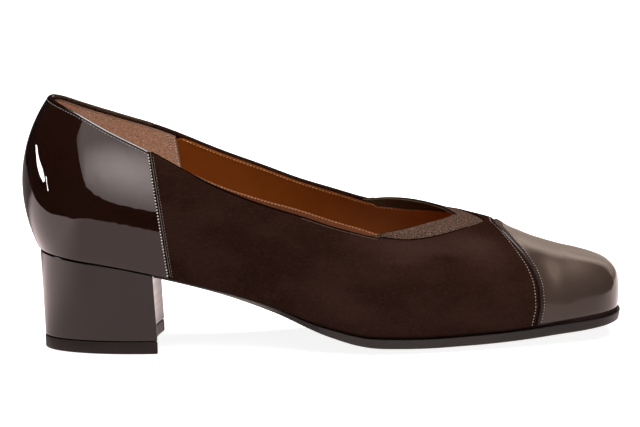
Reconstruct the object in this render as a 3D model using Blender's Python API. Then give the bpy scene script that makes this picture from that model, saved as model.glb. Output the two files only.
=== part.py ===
"""Right-foot court pump with a block heel, patent counter and toe cap, suede vamp and elastic gore.

X runs from the heel to the toe, +Y is the inner (medial) side, +Z is up and the floor is z = 0.
Sizes are in millimetres and become metres where a mesh is made. The upper's surface is a row of
ribs: each starts on the feather line, where upper and sole meet, and arches over to the ridge.
"""
from collections import Counter, namedtuple

import bmesh
import bpy
import numpy as np

SHOE_NAME = "court_pump"
MM = 0.001
LATERAL, MEDIAL = -1, 1
FIT_GAP = 0.3

# The last: one row for each section from heel to toe
Section = namedtuple("Section", "x ridge_y lateral medial feather ridge square_lateral square_medial flare")
LAST = (
    Section(7.2, 0.0, -25.0, 25.0, 42.4, 118.0, 1.8, 1.8, 34.5),
    Section(30.0, 0.0, -26.0, 25.5, 38.6, 118.0, 2.0, 2.0, 22.0),
    Section(60.0, -0.5, -26.3, 25.0, 32.1, 113.0, 2.0, 2.0, 16.0),
    Section(85.0, -1.0, -27.3, 23.0, 25.5, 101.0, 2.0, 2.0, 14.0),
    Section(105.0, -0.5, -29.8, 25.5, 19.2, 89.0, 2.0, 2.1, 12.0),
    Section(125.0, 0.5, -32.5, 31.5, 11.4, 77.0, 2.0, 2.3, 11.0),
    Section(145.0, 1.5, -34.2, 38.5, 6.9, 65.5, 2.1, 2.5, 10.0),
    Section(165.0, 2.0, -33.2, 41.8, 6.2, 56.8, 2.2, 2.7, 9.0),
    Section(185.0, 2.5, -29.8, 41.0, 6.5, 50.3, 2.4, 2.8, 8.0),
    Section(196.0, 3.5, -27.3, 39.4, 6.8, 47.0, 2.55, 2.8, 7.5),
    Section(205.0, 4.5, -25.3, 37.7, 7.3, 43.2, 2.7, 2.9, 7.0),
    Section(224.0, 6.2, -20.4, 32.6, 8.8, 36.4, 3.3, 3.3, 5.0),
    Section(247.8, 6.5, -16.5, 28.5, 10.6, 29.9, 6.5, 6.5, 2.5),
)
HEEL_BACK = LAST[0].x
TOE_TIP = LAST[-1].x
HEEL_POLE = 30.0
TOE_POLE = 224.0
HEEL_ROUND = 2.2
TOE_ROUND = 2.7
INSTEP_LEAN = 0.07
LEAN_FROM, LEAN_FULL = 100.0, 160.0

# Topline of the open shoe, as heights above the floor
Topline = namedtuple("Topline", "x lateral medial")
TOPLINE = (
    Topline(13.4, 104.8, 104.8),
    Topline(24.0, 101.2, 100.4),
    Topline(40.0, 92.2, 94.4),
    Topline(56.0, 83.8, 89.2),
    Topline(84.0, 67.8, 77.8),
    Topline(116.0, 55.3, 64.3),
    Topline(130.0, 51.7, 59.7),
    Topline(147.5, 47.6, 52.5),
)

# Edge of the vamp and free edge of the elastic, in plan
PlanEdge = namedtuple("PlanEdge", "x lateral medial")
VAMP_EDGE = (
    PlanEdge(147.5, -26.1, 31.8),
    PlanEdge(158.0, -24.2, 31.0),
    PlanEdge(169.5, -20.3, 27.5),
    PlanEdge(179.0, -14.8, 22.0),
    PlanEdge(186.0, -8.6, 15.5),
    PlanEdge(190.5, -2.5, 9.0),
    PlanEdge(192.6, 3.2, 3.2),
)
GORE_EDGE = (
    PlanEdge(147.5, -25.2, 31.0),
    PlanEdge(158.0, -20.2, 27.1),
    PlanEdge(170.0, -12.1, 20.5),
    PlanEdge(177.0, -4.8, 10.5),
    PlanEdge(180.6, 2.3, 2.3),
)
THROAT_BACK = VAMP_EDGE[0].x
VAMP_APEX = VAMP_EDGE[-1].x

# Seams of the overlays, as how far they wander along the shoe at each angle of the rib
COUNTER_SEAM = 62.6
COUNTER_LEAN = -0.178
COUNTER_BLEND_END = 120.0
CAP_SEAM = 211.4
CAP_BLEND_START = 130.0
SeamRow = namedtuple("SeamRow", "angle lateral medial")
CAP_SWEEP = (
    SeamRow(0.0, 0.0, 0.0),
    SeamRow(10.0, 1.9, 1.6),
    SeamRow(25.0, 1.7, 0.0),
    SeamRow(42.0, -0.5, -5.0),
    SeamRow(57.0, -3.9, -10.0),
    SeamRow(73.0, -7.8, -13.6),
    SeamRow(90.0, -12.4, -12.4),
)
SEAM_STEP = 0.3

# Walls, as depths below the finished outer surface
WALL = 2.2
OVERLAY_THICK = 0.8
OVERLAY_SEAT = OVERLAY_THICK + FIT_GAP
GORE_TOP, GORE_BOTTOM = 0.4, 1.6
GORE_EDGE_GAP = 0.5

# Sole: edge thickness, height of the middle of its underside, and overhang past the feather line
SoleRow = namedtuple("SoleRow", "x thickness middle overhang")
SOLE = (
    SoleRow(57.0, 1.0, 31.4, -3.0),
    SoleRow(80.0, 1.1, 25.2, -3.2),
    SoleRow(95.0, 1.5, 20.3, -2.4),
    SoleRow(108.0, 1.9, 15.2, -1.2),
    SoleRow(118.0, 2.3, 9.9, -0.3),
    SoleRow(127.0, 3.0, 5.6, 0.2),
    SoleRow(138.0, 3.5, 1.8, 0.6),
    SoleRow(150.0, 3.8, 0.0, 0.8),
    SoleRow(184.0, 3.8, 0.0, 0.8),
    SoleRow(205.0, 3.8, 0.9, 0.9),
    SoleRow(224.0, 3.8, 2.6, 0.9),
    SoleRow(247.8, 3.6, 5.3, 0.9),
)
SOLE_BEVEL = 0.9
SOLE_ACROSS = (-1.0, -0.78, -0.5, 0.0, 0.5, 0.78, 1.0)
SOLE_FLAT = 0.5

# Heel block and its lift
BREAST_TOP, BREAST_BOTTOM = 55.6, 56.7
BREAST_HOLLOW = 3.0
BREAST_BLEND_END = 75.0
HEEL_TOP_INSET = 0.6
HEEL_FOOT_BACK = 8.4
HEEL_FOOT_HALF = 23.4
HEEL_FOOT_ROUND = 2.1
LIFT_THICK = 5.0
LIFT_PROUD = 0.1
HEEL_ACROSS = (-1.0, -0.5, 0.0, 0.5, 1.0)

# Insole
INSOLE_THICK = 2.0
INSOLE_INSET = WALL + 0.5

# Rows and columns of the meshes
RIB_ROWS = 10
RIB_SAMPLES = 90
GORE_ROWS = 4
SLOPE_STEP = 0.5
BISECTIONS = 45
WELD = 0.002
SHARP_ANGLE = 0.7

# Colour, roughness, metallic value of each material
Finish = namedtuple("Finish", "color roughness metallic")
FINISHES = {
    "outsole": Finish((0.045, 0.038, 0.033), 0.55, 0.0),
    "heel_block": Finish((0.050, 0.034, 0.028), 0.30, 0.0),
    "top_lift": Finish((0.030, 0.025, 0.022), 0.60, 0.0),
    "upper": Finish((0.032, 0.015, 0.011), 0.90, 0.0),
    "toe_cap": Finish((0.110, 0.088, 0.070), 0.18, 0.0),
    "counter": Finish((0.014, 0.006, 0.004), 0.06, 0.0),
    "elastic_gore": Finish((0.140, 0.075, 0.055), 0.85, 0.0),
    "insole": Finish((0.180, 0.062, 0.018), 0.60, 0.0),
}


def column(table, name):
    """One named column of a table."""
    return np.array([getattr(row, name) for row in table])


def smooth_curve(table, name, x):
    """Read a table's column at x along a curve that never overshoots its rows."""
    xs = column(table, table[0]._fields[0])
    ys = column(table, name)
    step = np.diff(xs)
    rise = np.diff(ys) / step
    slope = np.concatenate([rise[:1], np.zeros(len(xs) - 2), rise[-1:]])
    for i in range(1, len(xs) - 1):
        if rise[i - 1] * rise[i] > 0:
            before = 2 * step[i] + step[i - 1]
            after = step[i] + 2 * step[i - 1]
            slope[i] = (before + after) / (before / rise[i - 1] + after / rise[i])
    x = np.clip(np.asarray(x, float), xs[0], xs[-1])
    i = np.clip(np.searchsorted(xs, x) - 1, 0, len(xs) - 2)
    t = (x - xs[i]) / step[i]
    start = (1 + 2 * t) * (1 - t) ** 2 * ys[i] + t * (1 - t) ** 2 * step[i] * slope[i]
    end = t * t * (3 - 2 * t) * ys[i + 1] + t * t * (t - 1) * step[i] * slope[i + 1]
    return start + end


def last(name, x):
    """A column of the last at x."""
    return smooth_curve(LAST, name, x)


def side_name(side):
    """Column name of a side."""
    return "lateral" if side == LATERAL else "medial"


def end_closure(x):
    """How much of the half width is left where the heel and the toe round off, from 1 to 0."""
    toe = np.clip((x - TOE_POLE) / (TOE_TIP - TOE_POLE), 0, 1)
    heel = np.clip((HEEL_POLE - x) / (HEEL_POLE - HEEL_BACK), 0, 1)
    return (1 - toe**TOE_ROUND) ** (1 / TOE_ROUND) * (1 - heel**HEEL_ROUND) ** (1 / HEEL_ROUND)


def feather_y(x, side):
    """Feather line in plan."""
    ridge = last("ridge_y", x)
    return ridge + (last(side_name(side), x) - ridge) * end_closure(x)


def rib_point(x, side, angle):
    """Point of the outer surface on the rib that starts at x, at an angle from 0 to 90 degrees."""
    x = np.asarray(x, float)
    turn = np.radians(angle)
    pole_x = np.clip(x, HEEL_POLE, TOE_POLE)
    pole_y = last("ridge_y", pole_x)
    foot_y = feather_y(x, side)
    reach = np.hypot(pole_x - x, pole_y - foot_y)
    power = 2 / last("square_" + side_name(side), x)
    rise = np.sin(turn) ** power
    run = reach * (1 - np.cos(turn) ** power) - last("flare", x) * rise * (1 - rise)
    px = x + (pole_x - x) / reach * run
    py = foot_y + (pole_y - foot_y) / reach * run
    lean = INSTEP_LEAN * np.clip((pole_x - LEAN_FROM) / (LEAN_FULL - LEAN_FROM), 0, 1)
    lean = lean * np.clip((TOE_TIP - x) / (TOE_TIP - TOE_POLE), 0, 1)
    crown = last("ridge", px) + lean * (py - pole_y)
    foot_z = last("feather", x)
    pz = foot_z + (crown - foot_z) * rise
    return np.stack(np.broadcast_arrays(px, py, pz), -1)


def ramp(x, start, end):
    """Straight ramp from 0 at start to 1 at end."""
    return np.clip((x - start) / (end - start), 0, 1)


def swept_x(x, side, angle):
    """Where a column that starts at x has moved to at an angle, so that columns follow the seams."""
    counter = ramp(x, HEEL_POLE, COUNTER_SEAM) * ramp(x, COUNTER_BLEND_END, COUNTER_SEAM)
    cap = ramp(x, CAP_BLEND_START, CAP_SEAM) * ramp(x, TOE_POLE, CAP_SEAM)
    return x + counter * COUNTER_LEAN * angle + cap * smooth_curve(CAP_SWEEP, side_name(side), angle)


def first_true(test):
    """Smallest angle from 0 to 90 degrees at which the test holds, or 90 where it never does."""
    low, high = 0.0, 90.0
    if not test(high):
        return high
    for _ in range(BISECTIONS):
        middle = (low + high) / 2
        if test(middle):
            high = middle
        else:
            low = middle
    return high


def end_angle(x, side):
    """Angle at which the upper's column ends: at the topline, at the vamp's edge or at the ridge."""
    def past_edge(angle):
        px, py, pz = rib_point(swept_x(x, side, angle), side, angle)
        if px < THROAT_BACK:
            return pz > smooth_curve(TOPLINE, side_name(side), px)
        if px < VAMP_APEX:
            return side * (py - smooth_curve(VAMP_EDGE, side_name(side), px)) < 0
        return False
    return first_true(past_edge)


def upper_column(x, side):
    """Points of one column of the upper, evenly spaced from the feather line to its end."""
    angles = np.linspace(0, 1, RIB_SAMPLES) ** 2 * end_angle(x, side)
    points = rib_point(swept_x(x, side, angles), side, angles)
    lengths = np.concatenate([[0], np.cumsum(np.linalg.norm(np.diff(points, axis=0), axis=1))])
    wanted = np.linspace(0, lengths[-1], RIB_ROWS + 1)
    return np.stack([np.interp(wanted, lengths, points[:, axis]) for axis in range(3)], -1)


def apex_column():
    """Start of the column that ends at the tip of the vamp's edge."""
    low, high = CAP_BLEND_START, CAP_SEAM
    for _ in range(BISECTIONS):
        middle = (low + high) / 2
        if swept_x(middle, LATERAL, 90.0) < VAMP_APEX:
            low = middle
        else:
            high = middle
    return high


def spread(start, end, count):
    """Count evenly spaced values that begin at start and leave end out."""
    return list(np.linspace(start, end, count, endpoint=False))


def quarter_turn(start, end, count):
    """Values from start to end that crowd together towards start, as round a quarter circle."""
    turn = np.linspace(0, np.pi / 2, count + 1)
    return list(start + (end - start) * (1 - np.cos(turn)))


def throat_stations():
    """Starts of the columns that end on the vamp's edge."""
    return spread(THROAT_BACK, apex_column(), 11)


def upper_stations():
    """Starts of the upper's columns from heel to toe, with three at each overlay seam."""
    stations = quarter_turn(HEEL_BACK, HEEL_POLE, 8)[:-1]
    stations += spread(HEEL_POLE, COUNTER_SEAM - SEAM_STEP, 5)
    stations += [COUNTER_SEAM - SEAM_STEP, COUNTER_SEAM]
    stations += spread(COUNTER_SEAM + SEAM_STEP, THROAT_BACK, 11)
    stations += throat_stations()
    stations += spread(apex_column(), CAP_SEAM - SEAM_STEP, 3)
    stations += [CAP_SEAM - SEAM_STEP, CAP_SEAM]
    stations += spread(CAP_SEAM + SEAM_STEP, TOE_POLE, 4)
    return stations + toe_stations(9)


class Sheet:
    """A welded grid of points whose quads are the faces of a closed body's two layers."""

    def __init__(self, grid):
        """Weld a grid of columns of points, where neighbouring columns are joined by quads."""
        rows = grid.shape[1]
        mesh = bmesh.new()
        source = mesh.verts.layers.int.new("source")
        verts = [mesh.verts.new(point) for point in grid.reshape(-1, 3)]
        for i, vert in enumerate(verts):
            vert[source] = i
        for start in range(0, len(verts) - rows, rows):
            for low in range(start, start + rows - 1):
                mesh.faces.new([verts[i] for i in (low, low + rows, low + rows + 1, low + 1)])
        bmesh.ops.remove_doubles(mesh, verts=mesh.verts, dist=WELD)
        mesh.normal_update()
        mesh.verts.index_update()
        self.source = np.array([vert[source] for vert in mesh.verts])
        self.points = grid.reshape(-1, 3)[self.source]
        self.normals = np.array([vert.normal for vert in mesh.verts])
        self.faces = [tuple(vert.index for vert in face.verts) for face in mesh.faces]
        mesh.free()

    def layer(self, depth):
        """The sheet's points moved a depth below it, which may differ from point to point."""
        return self.points - self.normals * np.broadcast_to(depth, len(self.points))[:, None]


def closed_body(name, top, bottom, faces):
    """Object between two layers of the same faces, with a rim round their open edges."""
    uses = Counter(frozenset(edge) for face in faces for edge in face_edges(face))
    used = sorted({i for face in faces for i in face})
    mesh = bmesh.new()
    upper = {i: mesh.verts.new(top[i] * MM) for i in used}
    lower = {i: mesh.verts.new(bottom[i] * MM) for i in used}
    for face in faces:
        mesh.faces.new([upper[i] for i in face])
        mesh.faces.new([lower[i] for i in reversed(face)])
        for a, b in face_edges(face):
            if uses[frozenset((a, b))] == 1:
                mesh.faces.new((upper[b], upper[a], lower[a], lower[b]))
    bmesh.ops.recalc_face_normals(mesh, faces=mesh.faces)
    return finished_object(name, mesh)


def face_edges(face):
    """Edges of a face, in its own direction."""
    return list(zip(face, face[1:] + face[:1]))


def finished_object(name, mesh):
    """Turn a bmesh into a named object with its own material, in the shoe's collection."""
    data = bpy.data.meshes.new(name)
    mesh.to_mesh(data)
    mesh.free()
    data.shade_smooth()
    data.set_sharp_from_angle(angle=SHARP_ANGLE)
    data.materials.append(finish_material(name, FINISHES[name]))
    body = bpy.data.objects.new(name, data)
    shoe_collection().objects.link(body)
    return body


def finish_material(name, finish):
    """Principled material of one sub-part."""
    material = bpy.data.materials.new(name + "_finish")
    material.use_nodes = True
    shader = material.node_tree.nodes["Principled BSDF"]
    shader.inputs["Base Color"].default_value = (*finish.color, 1.0)
    shader.inputs["Roughness"].default_value = finish.roughness
    shader.inputs["Metallic"].default_value = finish.metallic
    return material


def shoe_collection():
    """The collection that holds the shoe's parts."""
    if SHOE_NAME not in bpy.data.collections:
        bpy.context.scene.collection.children.link(bpy.data.collections.new(SHOE_NAME))
    return bpy.data.collections[SHOE_NAME]


def build_upper_and_overlays():
    """Hollow upper with stepped seats, and the toe cap and counter that fill them."""
    stations = upper_stations()
    columns = [upper_column(x, LATERAL) for x in stations]
    columns += [upper_column(x, MEDIAL) for x in reversed(stations)]
    sheet = Sheet(np.array(columns))
    station_of = np.repeat(stations + stations[::-1], RIB_ROWS + 1)[sheet.source]
    seated = (station_of <= COUNTER_SEAM) | (station_of >= CAP_SEAM)
    inner = sheet.layer(WALL)
    closed_body("upper", sheet.layer(np.where(seated, OVERLAY_SEAT, 0.0)), inner, sheet.faces)
    overlays = {
        "counter": station_of <= COUNTER_SEAM - SEAM_STEP,
        "toe_cap": station_of >= CAP_SEAM + SEAM_STEP,
    }
    for name, covered in overlays.items():
        faces = [face for face in sheet.faces if covered[list(face)].all()]
        closed_body(name, sheet.points, sheet.layer(OVERLAY_THICK), faces)


def surface_at(x, y, side):
    """Point of the outer surface above a point of the plan, on one side of the ridge."""
    angle = first_true(lambda turn: side * (rib_point(x, side, turn)[1] - y) <= 0)
    return rib_point(x, side, angle)


def gore_column(station, side):
    """Points of one column of the elastic, from beside the vamp's edge to the free edge."""
    name = side_name(side)
    edge = upper_column(station, side)[-1]
    share = (edge[0] - THROAT_BACK) / (VAMP_APEX - THROAT_BACK)
    free_x = THROAT_BACK + (GORE_EDGE[-1].x - THROAT_BACK) * share
    free_y = smooth_curve(GORE_EDGE, name, free_x)
    slope = np.diff(smooth_curve(VAMP_EDGE, name, edge[0] + np.array([-SLOPE_STEP, 0.0])))[0] / SLOPE_STEP
    inward = np.array([side * slope, -side]) if share < 1 else np.array([-1.0, 0.0])
    start = edge[:2] + inward / np.linalg.norm(inward) * GORE_EDGE_GAP
    plan = start + np.linspace(0, 1, GORE_ROWS + 1)[:, None] * (np.array([free_x, free_y]) - start)
    return [surface_at(x, y, side) for x, y in plan]


def build_elastic_gore():
    """V-shaped elastic band, set a little below the vamp's surface."""
    stations = throat_stations()[1:] + [apex_column()]
    columns = [gore_column(x, LATERAL) for x in stations]
    columns += [gore_column(x, MEDIAL) for x in reversed(stations)]
    sheet = Sheet(np.array(columns))
    closed_body("elastic_gore", sheet.layer(GORE_TOP), sheet.layer(GORE_BOTTOM), sheet.faces)


def plan_edge(stations, side, outward):
    """Feather line in plan, moved outwards square to itself."""
    points = np.stack([stations, feather_y(stations, side)], -1)
    tangent = np.gradient(points, axis=0)
    tangent[stations == HEEL_BACK] = (0, side)
    tangent[stations == TOE_TIP] = (0, -side)
    normal = side * np.stack([-tangent[:, 1], tangent[:, 0]], -1)
    normal /= np.linalg.norm(normal, axis=1)[:, None]
    return points + normal * np.broadcast_to(outward, len(stations))[:, None]


def fill_across(lateral, medial, across):
    """Grid of plan points that fills the space between two edges."""
    share = (np.array(across)[None, :, None] + 1) / 2
    return lateral[:, None, :] + (medial - lateral)[:, None, :] * share


def slab_plan(stations, outward, across):
    """Grid of plan points that fills the feather line, moved outwards."""
    return fill_across(plan_edge(stations, LATERAL, outward), plan_edge(stations, MEDIAL, outward), across)


def hollow(plan, stations, across, start, end):
    """Curve a plan's columns backwards towards the hollow breast of the heel."""
    depth = BREAST_HOLLOW * (1 - np.array(across)[None, :] ** 2) * ramp(stations, start, end)[:, None]
    return np.stack([plan[..., 0] - depth, plan[..., 1]], -1)


def raised(plan, height):
    """Plan points with their heights."""
    return np.concatenate([plan, height[..., None]], -1)


def slab(name, top, bottom):
    """Closed body between a top and a bottom grid, with its ends welded where they narrow to a point."""
    sheet = Sheet(top)
    closed_body(name, sheet.points, bottom.reshape(-1, 3)[sheet.source], sheet.faces)


def edge_share(x, y):
    """How far out a plan point lies, from 0 on the middle line to 1 on the feather line."""
    lateral, medial = last("lateral", x), last("medial", x)
    across = np.abs(2 * y - lateral - medial) / (medial - lateral)
    along = np.clip((x - TOE_POLE) / (TOE_TIP - TOE_POLE), 0, 1)
    return (across**TOE_ROUND + along**TOE_ROUND) ** (1 / TOE_ROUND)


def sole_underside(plan):
    """Height of the sole's underside: level in the middle, rising to its edge."""
    x, y = plan[..., 0], plan[..., 1]
    rise = np.clip((edge_share(x, y) - SOLE_FLAT) / (1 - SOLE_FLAT), 0, 1) ** 2
    edge = last("feather", x) - FIT_GAP - smooth_curve(SOLE, "thickness", x)
    middle = smooth_curve(SOLE, "middle", x)
    return middle + (edge - middle) * rise


def seat_height(plan):
    """Height of the surface that the insole lies on: the heel's seat, then the sole."""
    x = plan[..., 0]
    sole = sole_underside(plan) + smooth_curve(SOLE, "thickness", x)
    return np.where(x < SOLE[0].x, last("feather", x) - FIT_GAP, sole)


def toe_stations(count):
    """Stations round the toe, from its pole to its tip."""
    return quarter_turn(TOE_TIP, TOE_POLE, count)[::-1]


def build_outsole():
    """Thin sole from the heel's breast to the toe, level under the ball of the foot."""
    level_from, level_to = (row.x for row in SOLE if row.middle == 0)
    stations = spread(BREAST_TOP + 2 * FIT_GAP, level_from, 13) + spread(level_from, level_to, 5)
    stations = np.array(stations + spread(level_to, TOE_POLE, 5) + toe_stations(9))
    overhang = smooth_curve(SOLE, "overhang", stations)
    top = slab_plan(stations, overhang, SOLE_ACROSS)
    top = hollow(top, stations, SOLE_ACROSS, BREAST_BLEND_END, stations[0])
    foot = slab_plan(stations, overhang - SOLE_BEVEL, SOLE_ACROSS)
    foot = hollow(foot, stations, SOLE_ACROSS, BREAST_BLEND_END, stations[0])
    thickness = smooth_curve(SOLE, "thickness", top[..., 0])
    slab("outsole", raised(top, sole_underside(top) + thickness), raised(foot, sole_underside(foot)))


def heel_stations():
    """Stations of the heel, from its round back to its breast."""
    stations = quarter_turn(HEEL_BACK, HEEL_POLE, 9)[:-1]
    return np.array(stations + spread(HEEL_POLE, BREAST_TOP, 4) + [BREAST_TOP])


def heel_top_plan():
    """Plan of the heel where it meets the upper."""
    stations = heel_stations()
    plan = slab_plan(stations, -HEEL_TOP_INSET, HEEL_ACROSS)
    return hollow(plan, stations, HEEL_ACROSS, HEEL_POLE, BREAST_TOP)


def heel_foot_plan(outward):
    """Plan of the heel where it stands: half an ellipse with a hollow front."""
    back = HEEL_FOOT_BACK - outward
    share = ramp(heel_stations(), HEEL_BACK, BREAST_TOP)
    x = back + (BREAST_BOTTOM - back) * share
    half = (HEEL_FOOT_HALF + outward) * (1 - (1 - share) ** HEEL_FOOT_ROUND) ** (1 / HEEL_FOOT_ROUND)
    plan = fill_across(np.stack([x, -half], -1), np.stack([x, half], -1), HEEL_ACROSS)
    return hollow(plan, x, HEEL_ACROSS, HEEL_POLE, BREAST_BOTTOM)


def build_heel():
    """Block heel with its top cut to the shoe's seat, and the lift that it walks on."""
    top = heel_top_plan()
    foot = heel_foot_plan(0.0)
    level = np.zeros(foot.shape[:2])
    seat = last("feather", top[..., 0]) - FIT_GAP
    slab("heel_block", raised(top, seat), raised(foot, level + LIFT_THICK + FIT_GAP))
    lift = heel_foot_plan(LIFT_PROUD)
    slab("top_lift", raised(lift, level + LIFT_THICK), raised(lift, level))


def build_insole():
    """Footbed that follows the seat and the sole inside the upper's wall."""
    stations = quarter_turn(HEEL_BACK, HEEL_POLE, 8)[:-1] + spread(HEEL_POLE, TOE_POLE, 17)
    stations = np.array(stations + toe_stations(8))
    plan = slab_plan(stations, -INSOLE_INSET, SOLE_ACROSS)
    bottom = seat_height(plan) + FIT_GAP
    slab("insole", raised(plan, bottom + INSOLE_THICK), raised(plan, bottom))


def stand_on_origin():
    """Hang the parts on an empty that puts the middle of the shoe's footprint at the origin."""
    parts = list(shoe_collection().objects)
    points = np.array([vert.co for part in parts for vert in part.data.vertices])
    low, high = points.min(axis=0), points.max(axis=0)
    stand = bpy.data.objects.new(SHOE_NAME + "_stand", None)
    shoe_collection().objects.link(stand)
    stand.location = (-(low[0] + high[0]) / 2, -(low[1] + high[1]) / 2, -low[2])
    for part in parts:
        part.parent = stand


def main():
    """Build the whole shoe in an empty scene."""
    for old in list(bpy.data.objects):
        bpy.data.objects.remove(old, do_unlink=True)
    build_upper_and_overlays()
    build_elastic_gore()
    build_outsole()
    build_heel()
    build_insole()
    stand_on_origin()
    bpy.context.view_layer.update()


main()
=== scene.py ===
"""Looks of a right-foot court pump: block heel, patent counter and toe cap, suede vamp, elastic gore.

Lengths are in millimetres on the last, where X runs from heel to toe, +Y is the inner side and the floor
is z = 0. A mesh turns them into metres of the shared frame as it is made.
"""

import logging
import math
from collections import Counter
from dataclasses import dataclass, field
from enum import Enum
from typing import Callable, Dict, List, NamedTuple, Optional, Sequence, Tuple, Union

import bmesh
import bpy
import numpy as np
from mathutils import Matrix, Vector

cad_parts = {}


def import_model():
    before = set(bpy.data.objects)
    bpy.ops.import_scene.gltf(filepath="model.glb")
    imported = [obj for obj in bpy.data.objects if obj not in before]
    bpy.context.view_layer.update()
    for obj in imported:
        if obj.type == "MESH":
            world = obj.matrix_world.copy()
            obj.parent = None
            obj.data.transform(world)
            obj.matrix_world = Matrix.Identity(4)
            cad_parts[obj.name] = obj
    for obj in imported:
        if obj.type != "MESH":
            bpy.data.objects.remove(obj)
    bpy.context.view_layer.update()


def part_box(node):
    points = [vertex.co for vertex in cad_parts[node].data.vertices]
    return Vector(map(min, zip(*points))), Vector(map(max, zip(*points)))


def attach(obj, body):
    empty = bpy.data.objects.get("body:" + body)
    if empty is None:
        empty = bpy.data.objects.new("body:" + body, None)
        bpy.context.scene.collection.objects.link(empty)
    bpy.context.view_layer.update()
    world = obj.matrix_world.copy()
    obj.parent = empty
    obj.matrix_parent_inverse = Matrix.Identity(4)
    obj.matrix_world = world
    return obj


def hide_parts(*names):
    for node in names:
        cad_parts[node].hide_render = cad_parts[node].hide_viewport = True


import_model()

LOG = logging.getLogger("court_pump")
BODY = "root"
MM = 0.001
Array = np.ndarray
Values = Dict[str, Array]
Triple = Tuple[float, float, float]
Colour = Triple
Span = Tuple[float, float]
Points = Tuple[Span, ...]
Line = Tuple[Array, Array]
Face = Tuple[int, ...]
Tree, Node, Socket = bpy.types.NodeTree, bpy.types.Node, bpy.types.NodeSocket
Piece, Material = bpy.types.Object, bpy.types.Material
BLACK, WHITE = (0.0, 0.0, 0.0), (1.0, 1.0, 1.0)
# Distance of a point that has no edge near it
FAR = 99.0


class Side(Enum):
    """The two sides of the foot."""

    LATERAL = -1
    MEDIAL = 1

    @property
    def column(self) -> str:
        """Name of this side's column in the tables."""
        return self.name.lower()


# The last and its lines
class Section(NamedTuple):
    """One section of the last."""

    x: float
    ridge_y: float
    lateral: float
    medial: float
    feather: float
    ridge: float
    square_lateral: float
    square_medial: float
    flare: float


class SideRow(NamedTuple):
    """A value on each side of the shoe at one place."""

    x: float
    lateral: float
    medial: float


class SoleRow(NamedTuple):
    """Edge thickness, height of the middle of the underside, and overhang of the sole."""

    x: float
    thickness: float
    middle: float
    overhang: float


class Fold(NamedTuple):
    """A soft ridge or trough of the leather, or a patch of painted light or shade: where, how long, wide and
    high.
    """

    x: float
    up: float
    along: float
    across: float
    slope: float
    height: float


def table_of(kind: Callable[..., NamedTuple], values: Sequence[Sequence[float]]) -> Tuple[NamedTuple, ...]:
    """Rows of a table from their plain values."""
    return tuple(kind(*row) for row in values)


LAST = table_of(Section, (
    (7.2, 0.0, -25.0, 25.0, 42.4, 118.0, 1.8, 1.8, 34.5),
    (30.0, 0.0, -26.0, 25.5, 38.6, 118.0, 2.0, 2.0, 22.0),
    (60.0, -0.5, -26.3, 25.0, 32.1, 113.0, 2.0, 2.0, 16.0),
    (85.0, -1.0, -27.3, 23.0, 25.5, 101.0, 2.0, 2.0, 14.0),
    (105.0, -0.5, -29.8, 25.5, 19.2, 89.0, 2.0, 2.1, 12.0),
    (125.0, 0.5, -32.5, 31.5, 11.4, 77.0, 2.0, 2.3, 11.0),
    (145.0, 1.5, -34.2, 38.5, 6.9, 65.5, 2.1, 2.5, 10.0),
    (165.0, 2.0, -33.2, 41.8, 6.2, 56.8, 2.2, 2.7, 9.0),
    (185.0, 2.5, -29.8, 41.0, 6.5, 50.6, 2.4, 2.8, 8.0),
    (196.0, 3.5, -27.3, 39.4, 6.8, 47.4, 2.55, 2.8, 7.5),
    (205.0, 4.5, -25.3, 37.7, 7.3, 42.75, 2.7, 2.9, 7.0),
    (224.0, 6.2, -20.4, 32.6, 8.8, 35.5, 3.3, 3.3, 5.0),
    (247.8, 6.5, -16.5, 28.5, 10.6, 30.4, 6.5, 6.5, 2.5),
))
HEEL_BACK, TOE_TIP = LAST[0].x, LAST[-1].x
HEEL_POLE, TOE_POLE = 30.0, 224.0
HEEL_ROUND, TOE_ROUND = 2.2, 2.7
INSTEP_LEAN = 0.07
LEAN_FROM, LEAN_FULL = 100.0, 160.0
TOPLINE = table_of(SideRow, (
    (13.4, 105.5, 105.5), (24.0, 101.2, 100.4), (40.0, 92.2, 94.8), (56.0, 83.8, 89.6),
    (84.0, 68.2, 78.25), (102.0, 61.0, 71.2), (116.0, 56.5, 65.3), (130.0, 51.6, 60.3),
    (147.5, 46.7, 53.9),
))
VAMP_EDGE = table_of(SideRow, (
    (147.5, -26.1, 31.0), (158.0, -24.2, 31.0), (169.5, -20.3, 27.5), (179.0, -14.8, 22.0),
    (186.0, -8.6, 15.5), (190.5, -2.5, 9.0), (192.6, 3.2, 3.2),
))
GORE_EDGE = table_of(SideRow, (
    (147.5, -25.2, 29.0), (158.0, -20.2, 25.4), (170.0, -12.1, 17.6), (177.0, -4.8, 9.0),
    (180.6, 2.3, 2.3),
))
THROAT_BACK, VAMP_APEX = VAMP_EDGE[0].x, VAMP_EDGE[-1].x
COUNTER_SEAM, COUNTER_LEAN, COUNTER_BLEND_END = 62.6, -0.178, 120.0
CAP_SEAM, CAP_BLEND_START = 211.4, 130.0
CAP_SWEEP = table_of(SideRow, (
    (0.0, 0.0, 0.0), (10.0, 1.6, 1.6), (25.0, 1.2, 0.0), (42.0, -1.0, -5.0), (57.0, -4.7, -10.2),
    (73.0, -9.6, -14.4), (90.0, -14.8, -14.8),
))
SOLE = table_of(SoleRow, (
    (57.0, 1.0, 31.4, -3.0), (80.0, 1.1, 25.2, -3.2), (95.0, 1.5, 20.3, -2.4), (108.0, 1.9, 15.2, -1.2),
    (118.0, 2.3, 9.9, -0.3), (127.0, 3.0, 5.6, 0.2), (138.0, 3.5, 1.8, 0.6), (150.0, 3.8, 0.0, 0.8),
    (184.0, 3.8, 0.0, 0.8), (205.0, 3.8, 0.9, 0.9), (224.0, 3.8, 2.6, 0.9), (247.8, 3.6, 5.3, 0.9),
))
BREAST_TOP, BREAST_BOTTOM = 55.6, 56.7
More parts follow.
